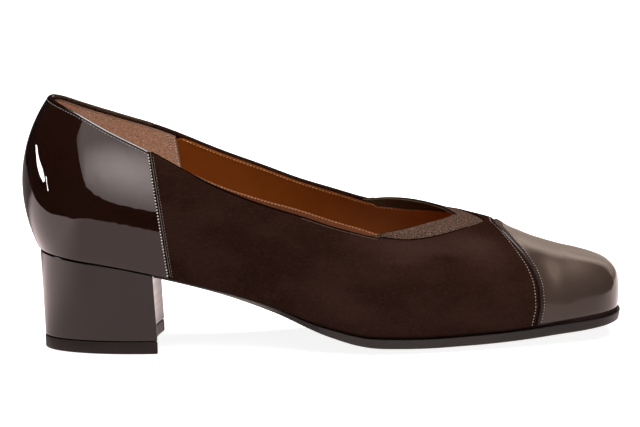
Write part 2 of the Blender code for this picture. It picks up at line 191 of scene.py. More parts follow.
HEEL_FOOT_BACK, HEEL_FOOT_HALF, HEEL_FOOT_ROUND = 8.4, 23.4, 2.1
LIFT_THICK, LIFT_PROUD = 5.0, 0.1
BISECTIONS = 40
RIB_SAMPLES = 140
TAIL_SAMPLES = 6
TANGENT_STEP = 0.05
EVEN_SHARE = 0.35
RIDGE_ANGLE = 90.0
SHARP_DEG = 50.0


def curve(table: Sequence[NamedTuple], name: str, x: Array) -> Array:
    """Read a table's column along a curve that never overshoots its rows.

    Args:
        table: Rows in the order of their first column.
        name: Column to read.
        x: Where to read it.

    Returns:
        The column's values at x.
    """
    xs = np.array([row[0] for row in table], float)
    ys = np.array([getattr(row, name) for row in table], float)
    step = np.diff(xs)
    rise = np.diff(ys) / step
    slope = np.concatenate([rise[:1], np.zeros(len(xs) - 2), rise[-1:]])
    for i in range(1, len(xs) - 1):
        if rise[i - 1] * rise[i] > 0:
            before, after = 2 * step[i] + step[i - 1], step[i] + 2 * step[i - 1]
            slope[i] = (before + after) / (before / rise[i - 1] + after / rise[i])
    x = np.clip(np.asarray(x, float), xs[0], xs[-1])
    i = np.clip(np.searchsorted(xs, x) - 1, 0, len(xs) - 2)
    t = (x - xs[i]) / step[i]
    start = (1 + 2 * t) * (1 - t) ** 2 * ys[i] + t * (1 - t) ** 2 * step[i] * slope[i]
    return start + t * t * (3 - 2 * t) * ys[i + 1] + t * t * (t - 1) * step[i] * slope[i + 1]


def ramp(x: Array, start: float, end: float) -> Array:
    """Straight ramp from 0 at start to 1 at end."""
    return np.clip((np.asarray(x, float) - start) / (end - start), 0, 1)


def smooth_ramp(x: Array, start: float, end: float) -> Array:
    """Ramp from 0 at start to 1 at end that eases in and out."""
    t = ramp(x, start, end)
    return t * t * (3 - 2 * t)


def eased(x: Array, origin: float, span: Span) -> Array:
    """Ramp that eases in and out between two distances from a place."""
    return smooth_ramp(x, origin + span[0], origin + span[1])


def unit(vectors: Array) -> Array:
    """Vectors scaled to a length of one."""
    return vectors / np.maximum(np.linalg.norm(vectors, axis=-1, keepdims=True), 1e-12)


def arc_lengths(paths: Array) -> Array:
    """Distances along paths of points, from 0 at the start of each."""
    steps = np.linalg.norm(np.diff(paths, axis=-2), axis=-1)
    return np.concatenate([np.zeros_like(steps[..., :1]), np.cumsum(steps, axis=-1)], axis=-1)


def quarter_turn(start: float, end: float, count: int) -> Array:
    """Values from start to end that crowd together towards start, as round a quarter circle."""
    return start + (end - start) * (1 - np.cos(np.linspace(0, math.pi / 2, count + 1)))


def crowded(count: int) -> Array:
    """Shares from 0 to 1 that lie closer together towards both ends."""
    even = np.linspace(0, 1, count)
    return EVEN_SHARE * even + (1 - EVEN_SHARE) * (1 - np.cos(math.pi * even)) / 2


class Last:
    """The shoe's outer surface as ribs, each from the feather line over to the ridge."""

    def value(self, name: str, x: Array) -> Array:
        """A column of the last at x."""
        return curve(LAST, name, x)

    def feather_y(self, x: Array, side: Side) -> Array:
        """Feather line in plan, where upper and sole meet."""
        toe = ramp(x, TOE_POLE, TOE_TIP)
        heel = ramp(x, HEEL_POLE, HEEL_BACK)
        closure = (1 - toe**TOE_ROUND) ** (1 / TOE_ROUND) * (1 - heel**HEEL_ROUND) ** (1 / HEEL_ROUND)
        ridge = self.value("ridge_y", x)
        return ridge + (self.value(side.column, x) - ridge) * closure

    def rib(self, x: Array, side: Side, angle: Array) -> Array:
        """Points of the outer surface.

        Args:
            x: Where the rib starts on the feather line.
            side: Side of the foot.
            angle: Angle up the rib, from 0 at the feather line to 90 degrees at the ridge.

        Returns:
            Points in millimetres, in an array with one more axis than x and angle.
        """
        x, angle = np.broadcast_arrays(np.asarray(x, float), np.asarray(angle, float))
        pole_x = np.clip(x, HEEL_POLE, TOE_POLE)
        pole_y = self.value("ridge_y", pole_x)
        foot_y = self.feather_y(x, side)
        reach = np.hypot(pole_x - x, pole_y - foot_y)
        power = 2 / self.value("square_" + side.column, x)
        rise = np.sin(np.radians(angle)) ** power
        run = reach * (1 - np.cos(np.radians(angle)) ** power) - self.value("flare", x) * rise * (1 - rise)
        px = x + (pole_x - x) / reach * run
        py = foot_y + (pole_y - foot_y) / reach * run
        lean = INSTEP_LEAN * ramp(pole_x, LEAN_FROM, LEAN_FULL) * ramp(x, TOE_TIP, TOE_POLE)
        crown = self.value("ridge", px) + lean * (py - pole_y)
        foot_z = self.value("feather", x)
        return np.stack([px, py, foot_z + (crown - foot_z) * rise], -1)

    def swept(self, x: Array, side: Side, angle: Array) -> Array:
        """Where a column that starts at x has moved to at an angle, so that columns follow the seams."""
        counter = ramp(x, HEEL_POLE, COUNTER_SEAM) * ramp(x, COUNTER_BLEND_END, COUNTER_SEAM)
        cap = ramp(x, CAP_BLEND_START, CAP_SEAM) * ramp(x, TOE_POLE, CAP_SEAM)
        return x + counter * COUNTER_LEAN * angle + cap * curve(CAP_SWEEP, side.column, angle)

    def column_points(self, x: Array, side: Side, angle: Array) -> Array:
        """Points of the columns that start at x, at an angle."""
        return self.rib(self.swept(x, side, angle), side, angle)

    def end_angles(self, x: Array, side: Side) -> Array:
        """Angles at which columns end: at the topline, at the vamp's edge or at the ridge."""
        x = np.asarray(x, float)

        def past(angle: Array) -> Array:
            """Which columns have passed their edge at an angle."""
            px, py, pz = np.moveaxis(self.column_points(x, side, angle), -1, 0)
            over_top = pz > curve(TOPLINE, side.column, px)
            over_vamp = side.value * (py - curve(VAMP_EDGE, side.column, px)) < 0
            return np.where(px < THROAT_BACK, over_top, (px < VAMP_APEX) & over_vamp)

        return first_angles(past, x.shape)

    def on_plan(self, x: Array, y: Array, side: Side) -> Array:
        """Points of the outer surface above points of the plan, on one side of the ridge."""
        angle = first_angles(lambda a: side.value * (self.rib(x, side, a)[..., 1] - y) <= 0, np.shape(x))
        return self.rib(x, side, angle)


def first_angles(test: Callable[[Array], Array], shape: Tuple[int, ...]) -> Array:
    """Smallest angles from 0 to 90 degrees at which a test holds, or 90 where it never does."""
    low, high = np.zeros(shape), np.full(shape, RIDGE_ANGLE)
    never = ~test(high)
    for _ in range(BISECTIONS):
        middle = (low + high) / 2
        hit = test(middle)
        high, low = np.where(hit, middle, high), np.where(hit, low, middle)
    return np.where(never, RIDGE_ANGLE, high)


LAST_FORM = Last()


@dataclass
class Columns:
    """Columns of points up one side of the shoe, read by how far up they lie."""

    stations: Array
    side: Side
    ends: Array = field(init=False)
    paths: Array = field(init=False)
    arcs: Array = field(init=False)

    def __post_init__(self) -> None:
        """Follow every column from the feather line to its end."""
        self.stations = np.asarray(self.stations, float)
        self.ends = LAST_FORM.end_angles(self.stations, self.side)
        angles = self.ends[:, None] * np.linspace(0, 1, RIB_SAMPLES)[None, :] ** 2
        self.paths = LAST_FORM.column_points(self.stations[:, None], self.side, angles)
        self.arcs = arc_lengths(self.paths)

    @property
    def lengths(self) -> Array:
        """Length of each column."""
        return self.arcs[:, -1]

    @property
    def open_ended(self) -> Array:
        """Which columns end at an opening, and not at the ridge."""
        return self.ends < RIDGE_ANGLE - 1e-6

    def at(self, up: Array) -> Array:
        """Points at distances up each column.

        Args:
            up: Distances with a row for each column; past the end they run on straight.

        Returns:
            Points with the shape of up and a last axis of 3.
        """
        out = np.empty(up.shape + (3,))
        for i, path in enumerate(self.paths):
            inside = np.clip(up[i], 0, self.arcs[i, -1])
            for axis in range(3):
                out[i, :, axis] = np.interp(inside, self.arcs[i], path[:, axis])
            tail = unit(path[-1] - path[-TAIL_SAMPLES])
            out[i] += np.maximum(up[i] - self.arcs[i, -1], 0)[:, None] * tail
        return out


@dataclass
class Skin:
    """A welded grid of points with normals and named values at each point."""

    points: Array
    normals: Array
    faces: List[Face]
    values: Values

    @classmethod
    def from_grid(cls, grid: Array, values: Values, weld: float = 0.002) -> "Skin":
        """Weld a grid of columns of points, where neighbouring columns are joined by quads.

        Args:
            grid: Points as columns, rows and coordinates.
            values: Named values for every point of the grid.
            weld: Distance under which points become one.

        Returns:
            The welded skin, with normals out of the side on which the quads turn left.
        """
        flat = grid.reshape(-1, 3)
        _, first, inverse = np.unique(np.round(flat / weld), axis=0, return_index=True, return_inverse=True)
        inverse = inverse.reshape(-1)
        rows = grid.shape[1]
        start = (np.arange(grid.shape[0] - 1)[:, None] * rows + np.arange(rows - 1)[None, :]).reshape(-1)
        quads = inverse[np.stack([start, start + rows, start + rows + 1, start + 1], -1)]
        corners = (tuple(dict.fromkeys(quad)) for quad in quads.tolist())
        faces = [face for face in corners if len(face) > 2]
        points = flat[first]
        normals = np.zeros_like(points)
        for corner in range(4):
            here, after, before = (quads[:, (corner + k) % 4] for k in (0, 1, 3))
            np.add.at(normals, here, np.cross(points[after] - points[here], points[before] - points[here]))
        kept = {name: np.broadcast_to(value, grid.shape[:2]).reshape(-1)[first]
                for name, value in values.items()}
        return cls(points, unit(normals), faces, kept)

    def layer(self, depth: Array) -> Array:
        """The skin's points moved a depth below it, which may differ from point to point."""
        return self.points - self.normals * np.broadcast_to(depth, len(self.points))[:, None]

    def shell(self, name: str, top: Array, bottom: Array, rim: Sequence[Span] = ()) -> Piece:
        """Closed body between two layers of this skin.

        Args:
            name: Name of the piece.
            top: Points of the outer layer.
            bottom: Points of the inner layer.
            rim: Steps round the open edges, each a share of the way down and a distance outwards.

        Returns:
            The piece, with this skin's values as attributes.
        """
        sides = [pair for face in self.faces for pair in zip(face, face[1:] + face[:1])]
        uses = Counter(map(frozenset, sides))
        border = [pair for pair in sides if uses[frozenset(pair)] == 1]
        count = len(self.points)
        layers = [top, bottom]
        faces = list(self.faces) + [tuple(i + count for i in reversed(face)) for face in self.faces]
        outward = self.border_normals(border)
        levels = [0] + [2 + i for i in range(len(rim))] + [1]
        for share, push in rim:
            layers.append(top + (bottom - top) * share + outward * push)
        for upper, lower in zip(levels, levels[1:]):
            for a, b in border:
                faces.append((b + upper * count, a + upper * count, a + lower * count, b + lower * count))
        values = {key: np.tile(value, len(layers)) for key, value in self.values.items()}
        return make_piece(name, np.concatenate(layers), faces, values)

    def border_normals(self, border: List[Tuple[int, int]]) -> Array:
        """Level directions out of the skin at its open edges, and nothing elsewhere."""
        out = np.zeros_like(self.points)
        for a, b in border:
            along = self.points[b] - self.points[a]
            square = np.array([along[1], -along[0], 0.0])
            out[a] += square
            out[b] += square
        length = np.linalg.norm(out, axis=1, keepdims=True)
        return np.where(length > 1e-9, out / np.maximum(length, 1e-9), 0.0)


def frame_shift() -> Array:
    """Where the last's zero lies in the shared frame, from the lift's box, in millimetres."""
    low, high = (np.array(corner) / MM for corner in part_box("top_lift"))
    return np.array([high[0] - BREAST_BOTTOM, (low[1] + high[1]) / 2, low[2]])


SHIFT = frame_shift()


def world(points: Array) -> Array:
    """Points of the last in metres of the shared frame."""
    return (np.asarray(points, float) + SHIFT) * MM


def placed(name: str, data: bpy.types.ID) -> Piece:
    """New object in the scene."""
    piece = bpy.data.objects.new(name, data)
    bpy.context.scene.collection.objects.link(piece)
    return piece


def make_piece(name: str, points: Array, faces: List[Face], values: Values) -> Piece:
    """Smooth mesh object from points of the last.

    Args:
        name: Name of the piece.
        points: Its points, in millimetres; points that no face uses are left out.
        faces: Corners of its faces.
        values: Named values at the points, kept as attributes.

    Returns:
        The linked object.
    """
    used = np.unique(np.concatenate([np.array(face) for face in faces]))
    place = np.full(len(points), -1)
    place[used] = np.arange(len(used))
    mesh = bpy.data.meshes.new(name)
    mesh.from_pydata(world(points[used]).tolist(), [], [tuple(place[list(face)]) for face in faces])
    for key, value in values.items():
        mesh.attributes.new(key, "FLOAT", "POINT").data.foreach_set("value", value[used].astype(np.float32))
    mesh.validate()
    mesh.shade_smooth()
    mesh.set_sharp_from_angle(angle=math.radians(SHARP_DEG))
    return placed(name, mesh)


# Node building
def fill(tree: Tree, socket: Socket, value: object) -> None:
    """Link a socket to another one, or set its value."""
    if isinstance(value, bpy.types.NodeSocket):
        tree.links.new(value, socket)
    elif socket.type == "RGBA" and len(value) == 3:
        socket.default_value = (*value, 1.0)
    else:
        socket.default_value = value


def put(tree: Tree, kind: str, settings: Optional[Dict[str, object]] = None, **inputs: object) -> Node:
    """Add a node and fill its sockets.

    Args:
        tree: Tree that gets the node.
        kind: Node type.
        settings: Properties of the node.
        inputs: Values or output sockets by input name, with underscores for spaces.

    Returns:
        The new node.
    """
    node = tree.nodes.new(kind)
    for key, value in (settings or {}).items():
        setattr(node, key, value)
    for key, value in inputs.items():
        names = {socket.name: socket for socket in reversed(node.inputs) if socket.enabled}
        fill(tree, names[key.replace("_", " ")], value)
    return node


def maths(tree: Tree, operation: str, first: object, second: object = 0.0, clamp: bool = False) -> Socket:
    """Output of a math node on two values or sockets."""
    node = put(tree, "ShaderNodeMath", {"operation": operation, "use_clamp": clamp})
    for socket, value in zip(node.inputs, (first, second)):
        fill(tree, socket, value)
    return node.outputs[0]


def faded(tree: Tree, value: object, low: float, high: float, start: float = 0.0,
          end: float = 1.0) -> Socket:
    """Output of a smooth map from one range to another."""
    node = put(tree, "ShaderNodeMapRange", {"interpolation_type": "SMOOTHSTEP"}, Value=value, From_Min=low,
               From_Max=high, To_Min=start, To_Max=end)
    return node.outputs["Result"]


def mixed(tree: Tree, share: object, first: object, second: object) -> Socket:
    """Output of a mix of two colours or colour sockets."""
    node = put(tree, "ShaderNodeMix", {"data_type": "RGBA"})
    factor, colour_a, colour_b = 0, 6, 7
    for place, value in ((factor, share), (colour_a, first), (colour_b, second)):
        fill(tree, node.inputs[place], value)
    return node.outputs[2]


def attribute(tree: Tree, name: str) -> Socket:
    """Value of a piece's own attribute."""
    return put(tree, "ShaderNodeAttribute", {"attribute_name": name}).outputs["Fac"]


def noise(tree: Tree, vector: Socket, per_mm: object, detail: float = 3.0, rough: float = 0.55) -> Socket:
    """Noise with a number of lumps for each millimetre."""
    node = put(tree, "ShaderNodeTexNoise", Vector=vector, Scale=per_mm, Detail=detail, Roughness=rough)
    return node.outputs[0]


def millimetres(tree: Tree, stretch: Triple = (1.0, 1.0, 1.0), turn_deg: float = 0.0) -> Socket:
    """Object coordinates in millimetres, stretched and turned about Y."""
    place = tree.nodes.new("ShaderNodeTexCoord").outputs["Object"]
    mapping = put(tree, "ShaderNodeMapping", {"vector_type": "POINT"}, Vector=place)
    mapping.inputs["Scale"].default_value = tuple(s / MM for s in stretch)
    mapping.inputs["Rotation"].default_value = (0.0, math.radians(turn_deg), 0.0)
    return mapping.outputs[0]


class EffectGroup:
    """A shader node group with named inputs and outputs, built once."""

    def __init__(self, name: str, inputs: Dict[str, float], outputs: Sequence[str]) -> None:
        """Make the group's sockets.

        Args:
            name: Name of the effect.
            inputs: Input names with their usual values.
            outputs: Names of the values that the effect gives.
        """
        self.tree = bpy.data.node_groups.new(name, "ShaderNodeTree")
        face = self.tree.interface
        for key, value in inputs.items():
            face.new_socket(key, in_out="INPUT", socket_type="NodeSocketFloat").default_value = value
        for key in outputs:
            face.new_socket(key, in_out="OUTPUT", socket_type="NodeSocketFloat")
        self.given = self.tree.nodes.new("NodeGroupInput").outputs
        self.result = self.tree.nodes.new("NodeGroupOutput").inputs

    def give(self, name: str, socket: Socket) -> None:
        """Send a socket to one of the group's outputs."""
        self.tree.links.new(socket, self.result[name])

    def use(self, tree: Tree, **values: float) -> Dict[str, Socket]:
        """Place the group in a material and return its outputs by name."""
        node = tree.nodes.new("ShaderNodeGroup")
        node.node_tree = self.tree
        for key, value in values.items():
            node.inputs[key].default_value = value
        return {socket.name: socket for socket in node.outputs}


def leather_grain() -> EffectGroup:
    """Fine pebbled grain with a slower unevenness of colour."""
    smoothness, fine_per_mm, fine_share, patch_detail = 0.4, 6.0, 0.35, 4.0
    group = EffectGroup("leather_grain", {"Pebbles": 2.2, "Patches": 0.09}, ("Height", "Patch"))
    place = millimetres(group.tree)
    cells = put(group.tree, "ShaderNodeTexVoronoi", {"feature": "SMOOTH_F1"}, Vector=place,
                Scale=group.given["Pebbles"], Smoothness=smoothness)
    fine = maths(group.tree, "MULTIPLY", noise(group.tree, place, fine_per_mm), fine_share)
    group.give("Height", maths(group.tree, "ADD", cells.outputs["Distance"], fine))
    group.give("Patch", noise(group.tree, place, group.given["Patches"], patch_detail))
    return group


def suede_nap() -> EffectGroup:
    """Short nap: fibre specks, brushed streaks and slow cloudy patches."""
    group = EffectGroup("suede_nap", {"Fibres": 1.9, "Clouds": 0.06}, ("Fibre", "Brush", "Cloud"))
    layers = {
        "Fibre": ((0.7, 1.0, 1.0), 6.0, group.given["Fibres"], 3.0, 0.7),
        "Brush": ((0.33, 0.7, 1.0), 8.0, 1.3, 2.0, 0.6),
        "Cloud": ((0.6, 1.0, 1.0), 10.0, group.given["Clouds"], 3.0, 0.55),
    }
    for name, (stretch, turn_deg, per_mm, detail, rough) in layers.items():
        group.give(name, noise(group.tree, millimetres(group.tree, stretch, turn_deg), per_mm, detail, rough))
    return group


def border_mask() -> EffectGroup:
    """How close a point lies to the edge of its panel, from 1 on the edge to 0 inside."""
    group = EffectGroup("border_mask", {"Width": 1.0}, ("Border",))
    share = maths(group.tree, "DIVIDE", attribute(group.tree, "edge"), group.given["Width"], clamp=True)
    group.give("Border", maths(group.tree, "SUBTRACT", 1.0, share))
    return group


GRAIN = leather_grain()
NAP = suede_nap()
BORDER = border_mask()


# Finishes
@dataclass(frozen=True)
class Gloss:
    """Plain values of a shader's own sockets."""

    roughness: float = 0.5
    coat: float = 0.0
    coat_roughness: float = 0.03
    specular: float = 0.5


def shader_of(name: str, gloss: Gloss) -> Tuple[Material, Tree, Node]:
    """New material with its principled shader set to plain values."""
    material = bpy.data.materials.new(name)
    material.use_nodes = True
    tree = material.node_tree
    shader = tree.nodes["Principled BSDF"]
    plain = {"Roughness": gloss.roughness, "Coat Weight": gloss.coat, "Coat Roughness": gloss.coat_roughness,
             "Specular IOR Level": gloss.specular}
    for key, value in plain.items():
        shader.inputs[key].default_value = value
    return material, tree, shader


def bump(tree: Tree, shader: Node, height: Socket, strength: float, depth_mm: float) -> None:
    """Raise a surface and its coat by a height map."""
    node = put(tree, "ShaderNodeBump", Height=height, Strength=strength, Distance=depth_mm * MM)
    tree.links.new(node.outputs[0], shader.inputs["Normal"])
    tree.links.new(node.outputs[0], shader.inputs["Coat Normal"])


@dataclass(frozen=True)
class PatentFinish:
    """Lacquered leather: a dark or pearly base under a clear coat that is not quite even, with patches of
    painted light and painted shade near its edges.
    """

    name: str
    base: Colour
    warm: Colour
    border: Colour
    painted_light_tone: Colour
    gloss: Gloss
    ripple_mm: float
    border_mm: float = 0.9
    ripple_per_mm: float = 0.10
    painted_lighting_share: float = 0.8
    lip_coat_share: float = 0.25

    def material(self) -> Material:
        """Build the finish."""
        material, tree, shader = shader_of(self.name, self.gloss)
        grain = GRAIN.use(tree, Pebbles=1.1, Patches=0.035)
        near = BORDER.use(tree, Width=self.border_mm)["Border"]
        colour = mixed(tree, faded(tree, grain["Patch"], low=0.35, high=0.7), self.base, self.warm)
        # Painted light: a paler tone mixed in by the piece's painted-light attribute.
        bloom = maths(tree, "MULTIPLY", attribute(tree, "bloom"), self.painted_lighting_share, True)
        colour = mixed(tree, bloom, colour, self.painted_light_tone)
        # Darker and less coated near its edges: painted shade along the feather line, and a darker lip along
        # the seam.
        lip = faded(tree, near, low=0.1, high=0.42)
        fill(tree, shader.inputs["Base Color"], mixed(tree, lip, colour, self.border))
        coat = faded(tree, lip, 0.0, 1.0, self.gloss.coat, self.gloss.coat * self.lip_coat_share)
        fill(tree, shader.inputs["Coat Weight"], coat)
        slow = noise(tree, millimetres(tree), self.ripple_per_mm, detail=2.0, rough=0.4)
        bump(tree, shader, slow, strength=1.0, depth_mm=self.ripple_mm)
        return material


@dataclass(frozen=True)
class SuedeFinish:
    """Brushed suede with clouds, scuffs, patches of painted light and painted shade along its edges."""

    name: str
    base: Colour
    light: Colour
    dark: Colour
    border: Colour
    specks: float = 0.6
    grit: float = 0.35
    brush: float = 0.31
    fibres: float = 1.9
    gloss: Gloss = Gloss(roughness=0.95, specular=0.0)
    painted_lighting_share: float = 0.6
    brush_height: float = 0.6

    def material(self) -> Material:
        """Build the finish."""
        material, tree, shader = shader_of(self.name, self.gloss)
        nap = NAP.use(tree, Fibres=self.fibres)
        # Painted light: the piece's painted-light attribute adds to the clouds' lighter tone, and takes from
        # it where negative.
        bloom = maths(tree, "MULTIPLY", attribute(tree, "bloom"), self.painted_lighting_share)
        lifted = maths(tree, "ADD", faded(tree, nap["Cloud"], low=0.40, high=0.66, end=0.25), bloom, True)
        near = BORDER.use(tree, Width=1.3)["Border"]
        colour = mixed(tree, lifted, self.base, self.light)
        layers = (
            (faded(tree, nap["Brush"], low=0.54, high=0.74, end=self.brush), self.light),
            (faded(tree, nap["Fibre"], low=0.34, high=0.47, start=self.grit, end=0.0), self.dark),
            (faded(tree, nap["Fibre"], low=0.54, high=0.68, end=self.specks), self.light),
            # Painted shade along the edges and the feather line.
            (faded(tree, near, low=0.1, high=0.7, end=0.92), self.border),
        )
        for share, tone in layers:
            colour = mixed(tree, share, colour, tone)
        fill(tree, shader.inputs["Base Color"], colour)
        brushed = maths(tree, "MULTIPLY", nap["Brush"], self.brush_height)
        bump(tree, shader, maths(tree, "ADD", nap["Fibre"], brushed), strength=0.6, depth_mm=0.3)
        return material


@dataclass(frozen=True)
class LeatherFinish:
    """Plain leather or covering with a fine grain and a little unevenness; where given, a paler tone of
    painted light and a darker tone near its edges.
    """

    name: str
    base: Colour
    patch: Colour
    gloss: Gloss
    pebbles: float = 2.2
    grain_mm: float = 0.05
    border: Optional[Colour] = None
    border_mm: float = 1.0
    painted_light_tone: Optional[Colour] = None
    rough_shares: Span = (0.85, 1.15)

    def material(self) -> Material:
        """Build the finish."""
        material, tree, shader = shader_of(self.name, self.gloss)
        grain = GRAIN.use(tree, Pebbles=self.pebbles)
        colour = mixed(tree, faded(tree, grain["Patch"], low=0.35, high=0.68), self.base, self.patch)
        # Painted light: a paler tone mixed in by the piece's painted-light attribute.
        if self.painted_light_tone:
            colour = mixed(tree, attribute(tree, "bloom"), colour, self.painted_light_tone)
        # Darker where the edge value is small: painted shade on the sole's side, and a darker band along the
        # lining's near edge.
        if self.border:
            near = BORDER.use(tree, Width=self.border_mm)["Border"]
            colour = mixed(tree, faded(tree, near, low=0.0, high=0.5), colour, self.border)
        fill(tree, shader.inputs["Base Color"], colour)
        smooth, coarse = (self.gloss.roughness * share for share in self.rough_shares)
        rough = faded(tree, grain["Patch"], low=0.3, high=0.7, start=smooth, end=coarse)
        fill(tree, shader.inputs["Roughness"], rough)
        bump(tree, shader, grain["Height"], strength=0.6, depth_mm=self.grain_mm)
        return material


@dataclass(frozen=True)
class ElasticFinish:
    """Rib-knit elastic: rows of small loops across the band."""

    name: str
    thread: Colour
    gap: Colour
    fleck: Colour
    gloss: Gloss = Gloss(roughness=0.9, specular=0.0)
    loop_mm: float = 0.6
    loop_height: float = 0.75

    def material(self) -> Material:
        """Build the finish."""
        material, tree, shader = shader_of(self.name, self.gloss)
        along, across = attribute(tree, "along"), attribute(tree, "across")
        place = put(tree, "ShaderNodeCombineXYZ", X=along, Y=across).outputs[0]
        loops = put(tree, "ShaderNodeTexVoronoi", {"voronoi_dimensions": "2D"}, Vector=place,
                    Scale=1.0 / self.loop_mm, Randomness=0.42)
        height = maths(tree, "SUBTRACT", self.loop_height, loops.outputs["Distance"])
        stray = noise(tree, millimetres(tree), per_mm=1.3, rough=0.7)
        rim = BORDER.use(tree, Width=0.5)["Border"]
        colour = mixed(tree, faded(tree, height, low=0.20, high=0.52), self.gap, self.thread)
        colour = mixed(tree, faded(tree, stray, low=0.52, high=0.70, end=0.45), colour, self.fleck)
        colour = mixed(tree, faded(tree, stray, low=0.28, high=0.42, start=0.4, end=0.0), colour, self.gap)
        colour = mixed(tree, faded(tree, rim, low=0.0, high=0.5), colour, self.gap)
        fill(tree, shader.inputs["Base Color"], colour)
        bump(tree, shader, height, strength=0.9, depth_mm=0.25)
        return material


@dataclass(frozen=True)
class ThreadFinish:
    """Waxed sewing thread, or painted shade in stitch holes, grooves and folds, or a painted highlight line.
    """

    name: str
    base: Colour
    shine: float = 0.3
    dark_share: float = 0.6
    mottle_per_mm: float = 0.8
    slot: str = "elastic"

    def material(self) -> Material:
        """Build the finish."""
        material, tree, shader = shader_of(self.name, Gloss(roughness=0.6, specular=self.shine))
        mottle = noise(tree, millimetres(tree), self.mottle_per_mm, detail=2.0)
        tone = faded(tree, mottle, low=0.3, high=0.7)
        dark = tuple(self.dark_share * part for part in self.base)
        fill(tree, shader.inputs["Base Color"], mixed(tree, tone, dark, self.base))
        return material


Finish = Union[PatentFinish, SuedeFinish, LeatherFinish, ElasticFinish, ThreadFinish]

COUNTER_PATENT = PatentFinish(
    "counter_patent", base=(0.01, 0.003, 0.0017), warm=(0.0125, 0.0042, 0.0025), border=(0.009, 0.003, 0.002),
    painted_light_tone=(0.0125, 0.0042, 0.0025), gloss=Gloss(0.6, 1.0, 0.015, specular=0.0), ripple_mm=0.05,
    ripple_per_mm=0.15)
# Its paler tone paints highlights on the cap; its darker border paints shade along the feather line and
# darkens the seam's lip.
TOE_PATENT = PatentFinish(
    "toe_patent", base=(0.043, 0.0282, 0.0222), warm=(0.048, 0.0318, 0.0250), border=(0.028, 0.0170, 0.0142),
    painted_light_tone=(0.100, 0.070, 0.056), gloss=Gloss(0.6, 1.0, 0.09, specular=0.0), ripple_mm=0.03, border_mm=3.3)
HEEL_COVER = PatentFinish(
    "heel_patent", base=(0.0095, 0.0040, 0.0028), warm=(0.0110, 0.0046, 0.0034), border=(0.009, 0.004, 0.003),
    painted_light_tone=(0.0110, 0.0046, 0.0034), gloss=Gloss(0.5, 0.85, 0.06, specular=0.0), ripple_mm=0.05)
# Its border tone paints shade along the suede's edges and the feather line.
BROWN_SUEDE = SuedeFinish(
    "brown_suede", base=(0.015, 0.006, 0.0039), light=(0.039, 0.018, 0.014), dark=(0.008, 0.003, 0.0019),
    border=(0.0030, 0.0012, 0.0008), specks=0.45, grit=0.4)
GRIP_SUEDE = SuedeFinish(
    "grip_suede", base=(0.68, 0.395, 0.255), light=(0.96, 0.74, 0.58), dark=(0.28, 0.15, 0.085),
    border=(0.27, 0.14, 0.088), specks=0.85, grit=0.8, brush=0.1, fibres=1.75)
# Its paler tone paints light into the deep inside towards the toe.
TAN_LINING = LeatherFinish(
    "tan_lining", base=(0.280, 0.072, 0.0102), patch=(0.256, 0.064, 0.0085), gloss=Gloss(0.45, specular=0.06),
    pebbles=2.6, grain_mm=0.04, border=(0.092, 0.026, 0.0078), border_mm=6.0, painted_light_tone=(0.40, 0.150, 0.045))
SOCK_LEATHER = LeatherFinish(
    "sock_leather", base=(0.235, 0.080, 0.020), patch=(0.19, 0.06, 0.013), gloss=Gloss(0.5, specular=0.15))
LIFT_RUBBER = LeatherFinish(
    "lift_rubber", base=(0.012, 0.0065, 0.0052), patch=(0.015, 0.0088, 0.0072),
    gloss=Gloss(0.5, specular=0.22), pebbles=3.2)
# Its paler tone paints a highlight at the waist; its border tone paints shade on the sole's side.
SOLE_RUBBER = LeatherFinish(
    "sole_rubber", base=(0.019, 0.0148, 0.0132), patch=(0.024, 0.019, 0.017), gloss=Gloss(0.5, specular=0.25),
    pebbles=2.8, border=(0.0085, 0.0048, 0.0042), painted_light_tone=(0.135, 0.110, 0.101))
# Painted shade: the dark strips in the seam grooves and at the heel's seat.
SEAM_SHADE = LeatherFinish(
    "seam_shade", base=(0.006, 0.003, 0.002), patch=(0.008, 0.004, 0.003), gloss=Gloss(0.8, specular=0.05),
    pebbles=2.0)
# Painted shade of the gap between upper and sole along the feather line.
RAND_SHADE = LeatherFinish(
    "rand_shade", base=(0.018, 0.0094, 0.0072), patch=(0.022, 0.012, 0.0095), gloss=Gloss(0.8, specular=0.05),
    pebbles=2.0)
GORE_BACK = LeatherFinish(
    "gore_back", base=(0.086, 0.056, 0.033), patch=(0.096, 0.064, 0.038), gloss=Gloss(0.9, specular=0.0),
    pebbles=2.5)
GORE_KNIT = ElasticFinish(
    "gore_knit", thread=(0.128, 0.074, 0.054), gap=(0.007, 0.0033, 0.0022), fleck=(0.28, 0.185, 0.143))
SEAM_THREAD = ThreadFinish("seam_thread", (0.64, 0.55, 0.49))
# Thread of the quarter seam, and the tone of the painted highlight line along the folded suede edge at the
# counter seam.
THREAD_AND_HIGHLIGHT = ThreadFinish("cord_thread", (0.16, 0.125, 0.105))
LINING_THREAD = ThreadFinish("lining_thread", (0.74, 0.40, 0.19))
BAND_THREAD = ThreadFinish("band_thread", (0.42, 0.200, 0.078), shine=0.1)
GRIP_THREAD = ThreadFinish("grip_thread", (0.98, 0.86, 0.72))
VAMP_THREAD = ThreadFinish("vamp_thread", (0.40, 0.33, 0.28), shine=0.1)
TOPLINE_THREAD = ThreadFinish("topline_thread", (0.24, 0.205, 0.185))
RIM_THREAD = ThreadFinish(
    "rim_thread", (0.080, 0.044, 0.031), shine=0.0, dark_share=0.08, mottle_per_mm=1.8, slot="patent_counter")
# Painted highlight on the roll of the near suede edge.
PAINTED_EDGE_HIGHLIGHT = ThreadFinish("cut_edge", (0.090, 0.050, 0.038), shine=0.0, slot="suede")
# Painted shade in stitch holes, grooves and along edges.
HOLE_SHADE = ThreadFinish("hole_shade", (0.003, 0.0015, 0.001), shine=0.0, slot="suede")


def material_of(finish: Finish) -> Material:
    """A finish's material, built the first time that it is asked for."""
    return bpy.data.materials.get(finish.name) or finish.material()


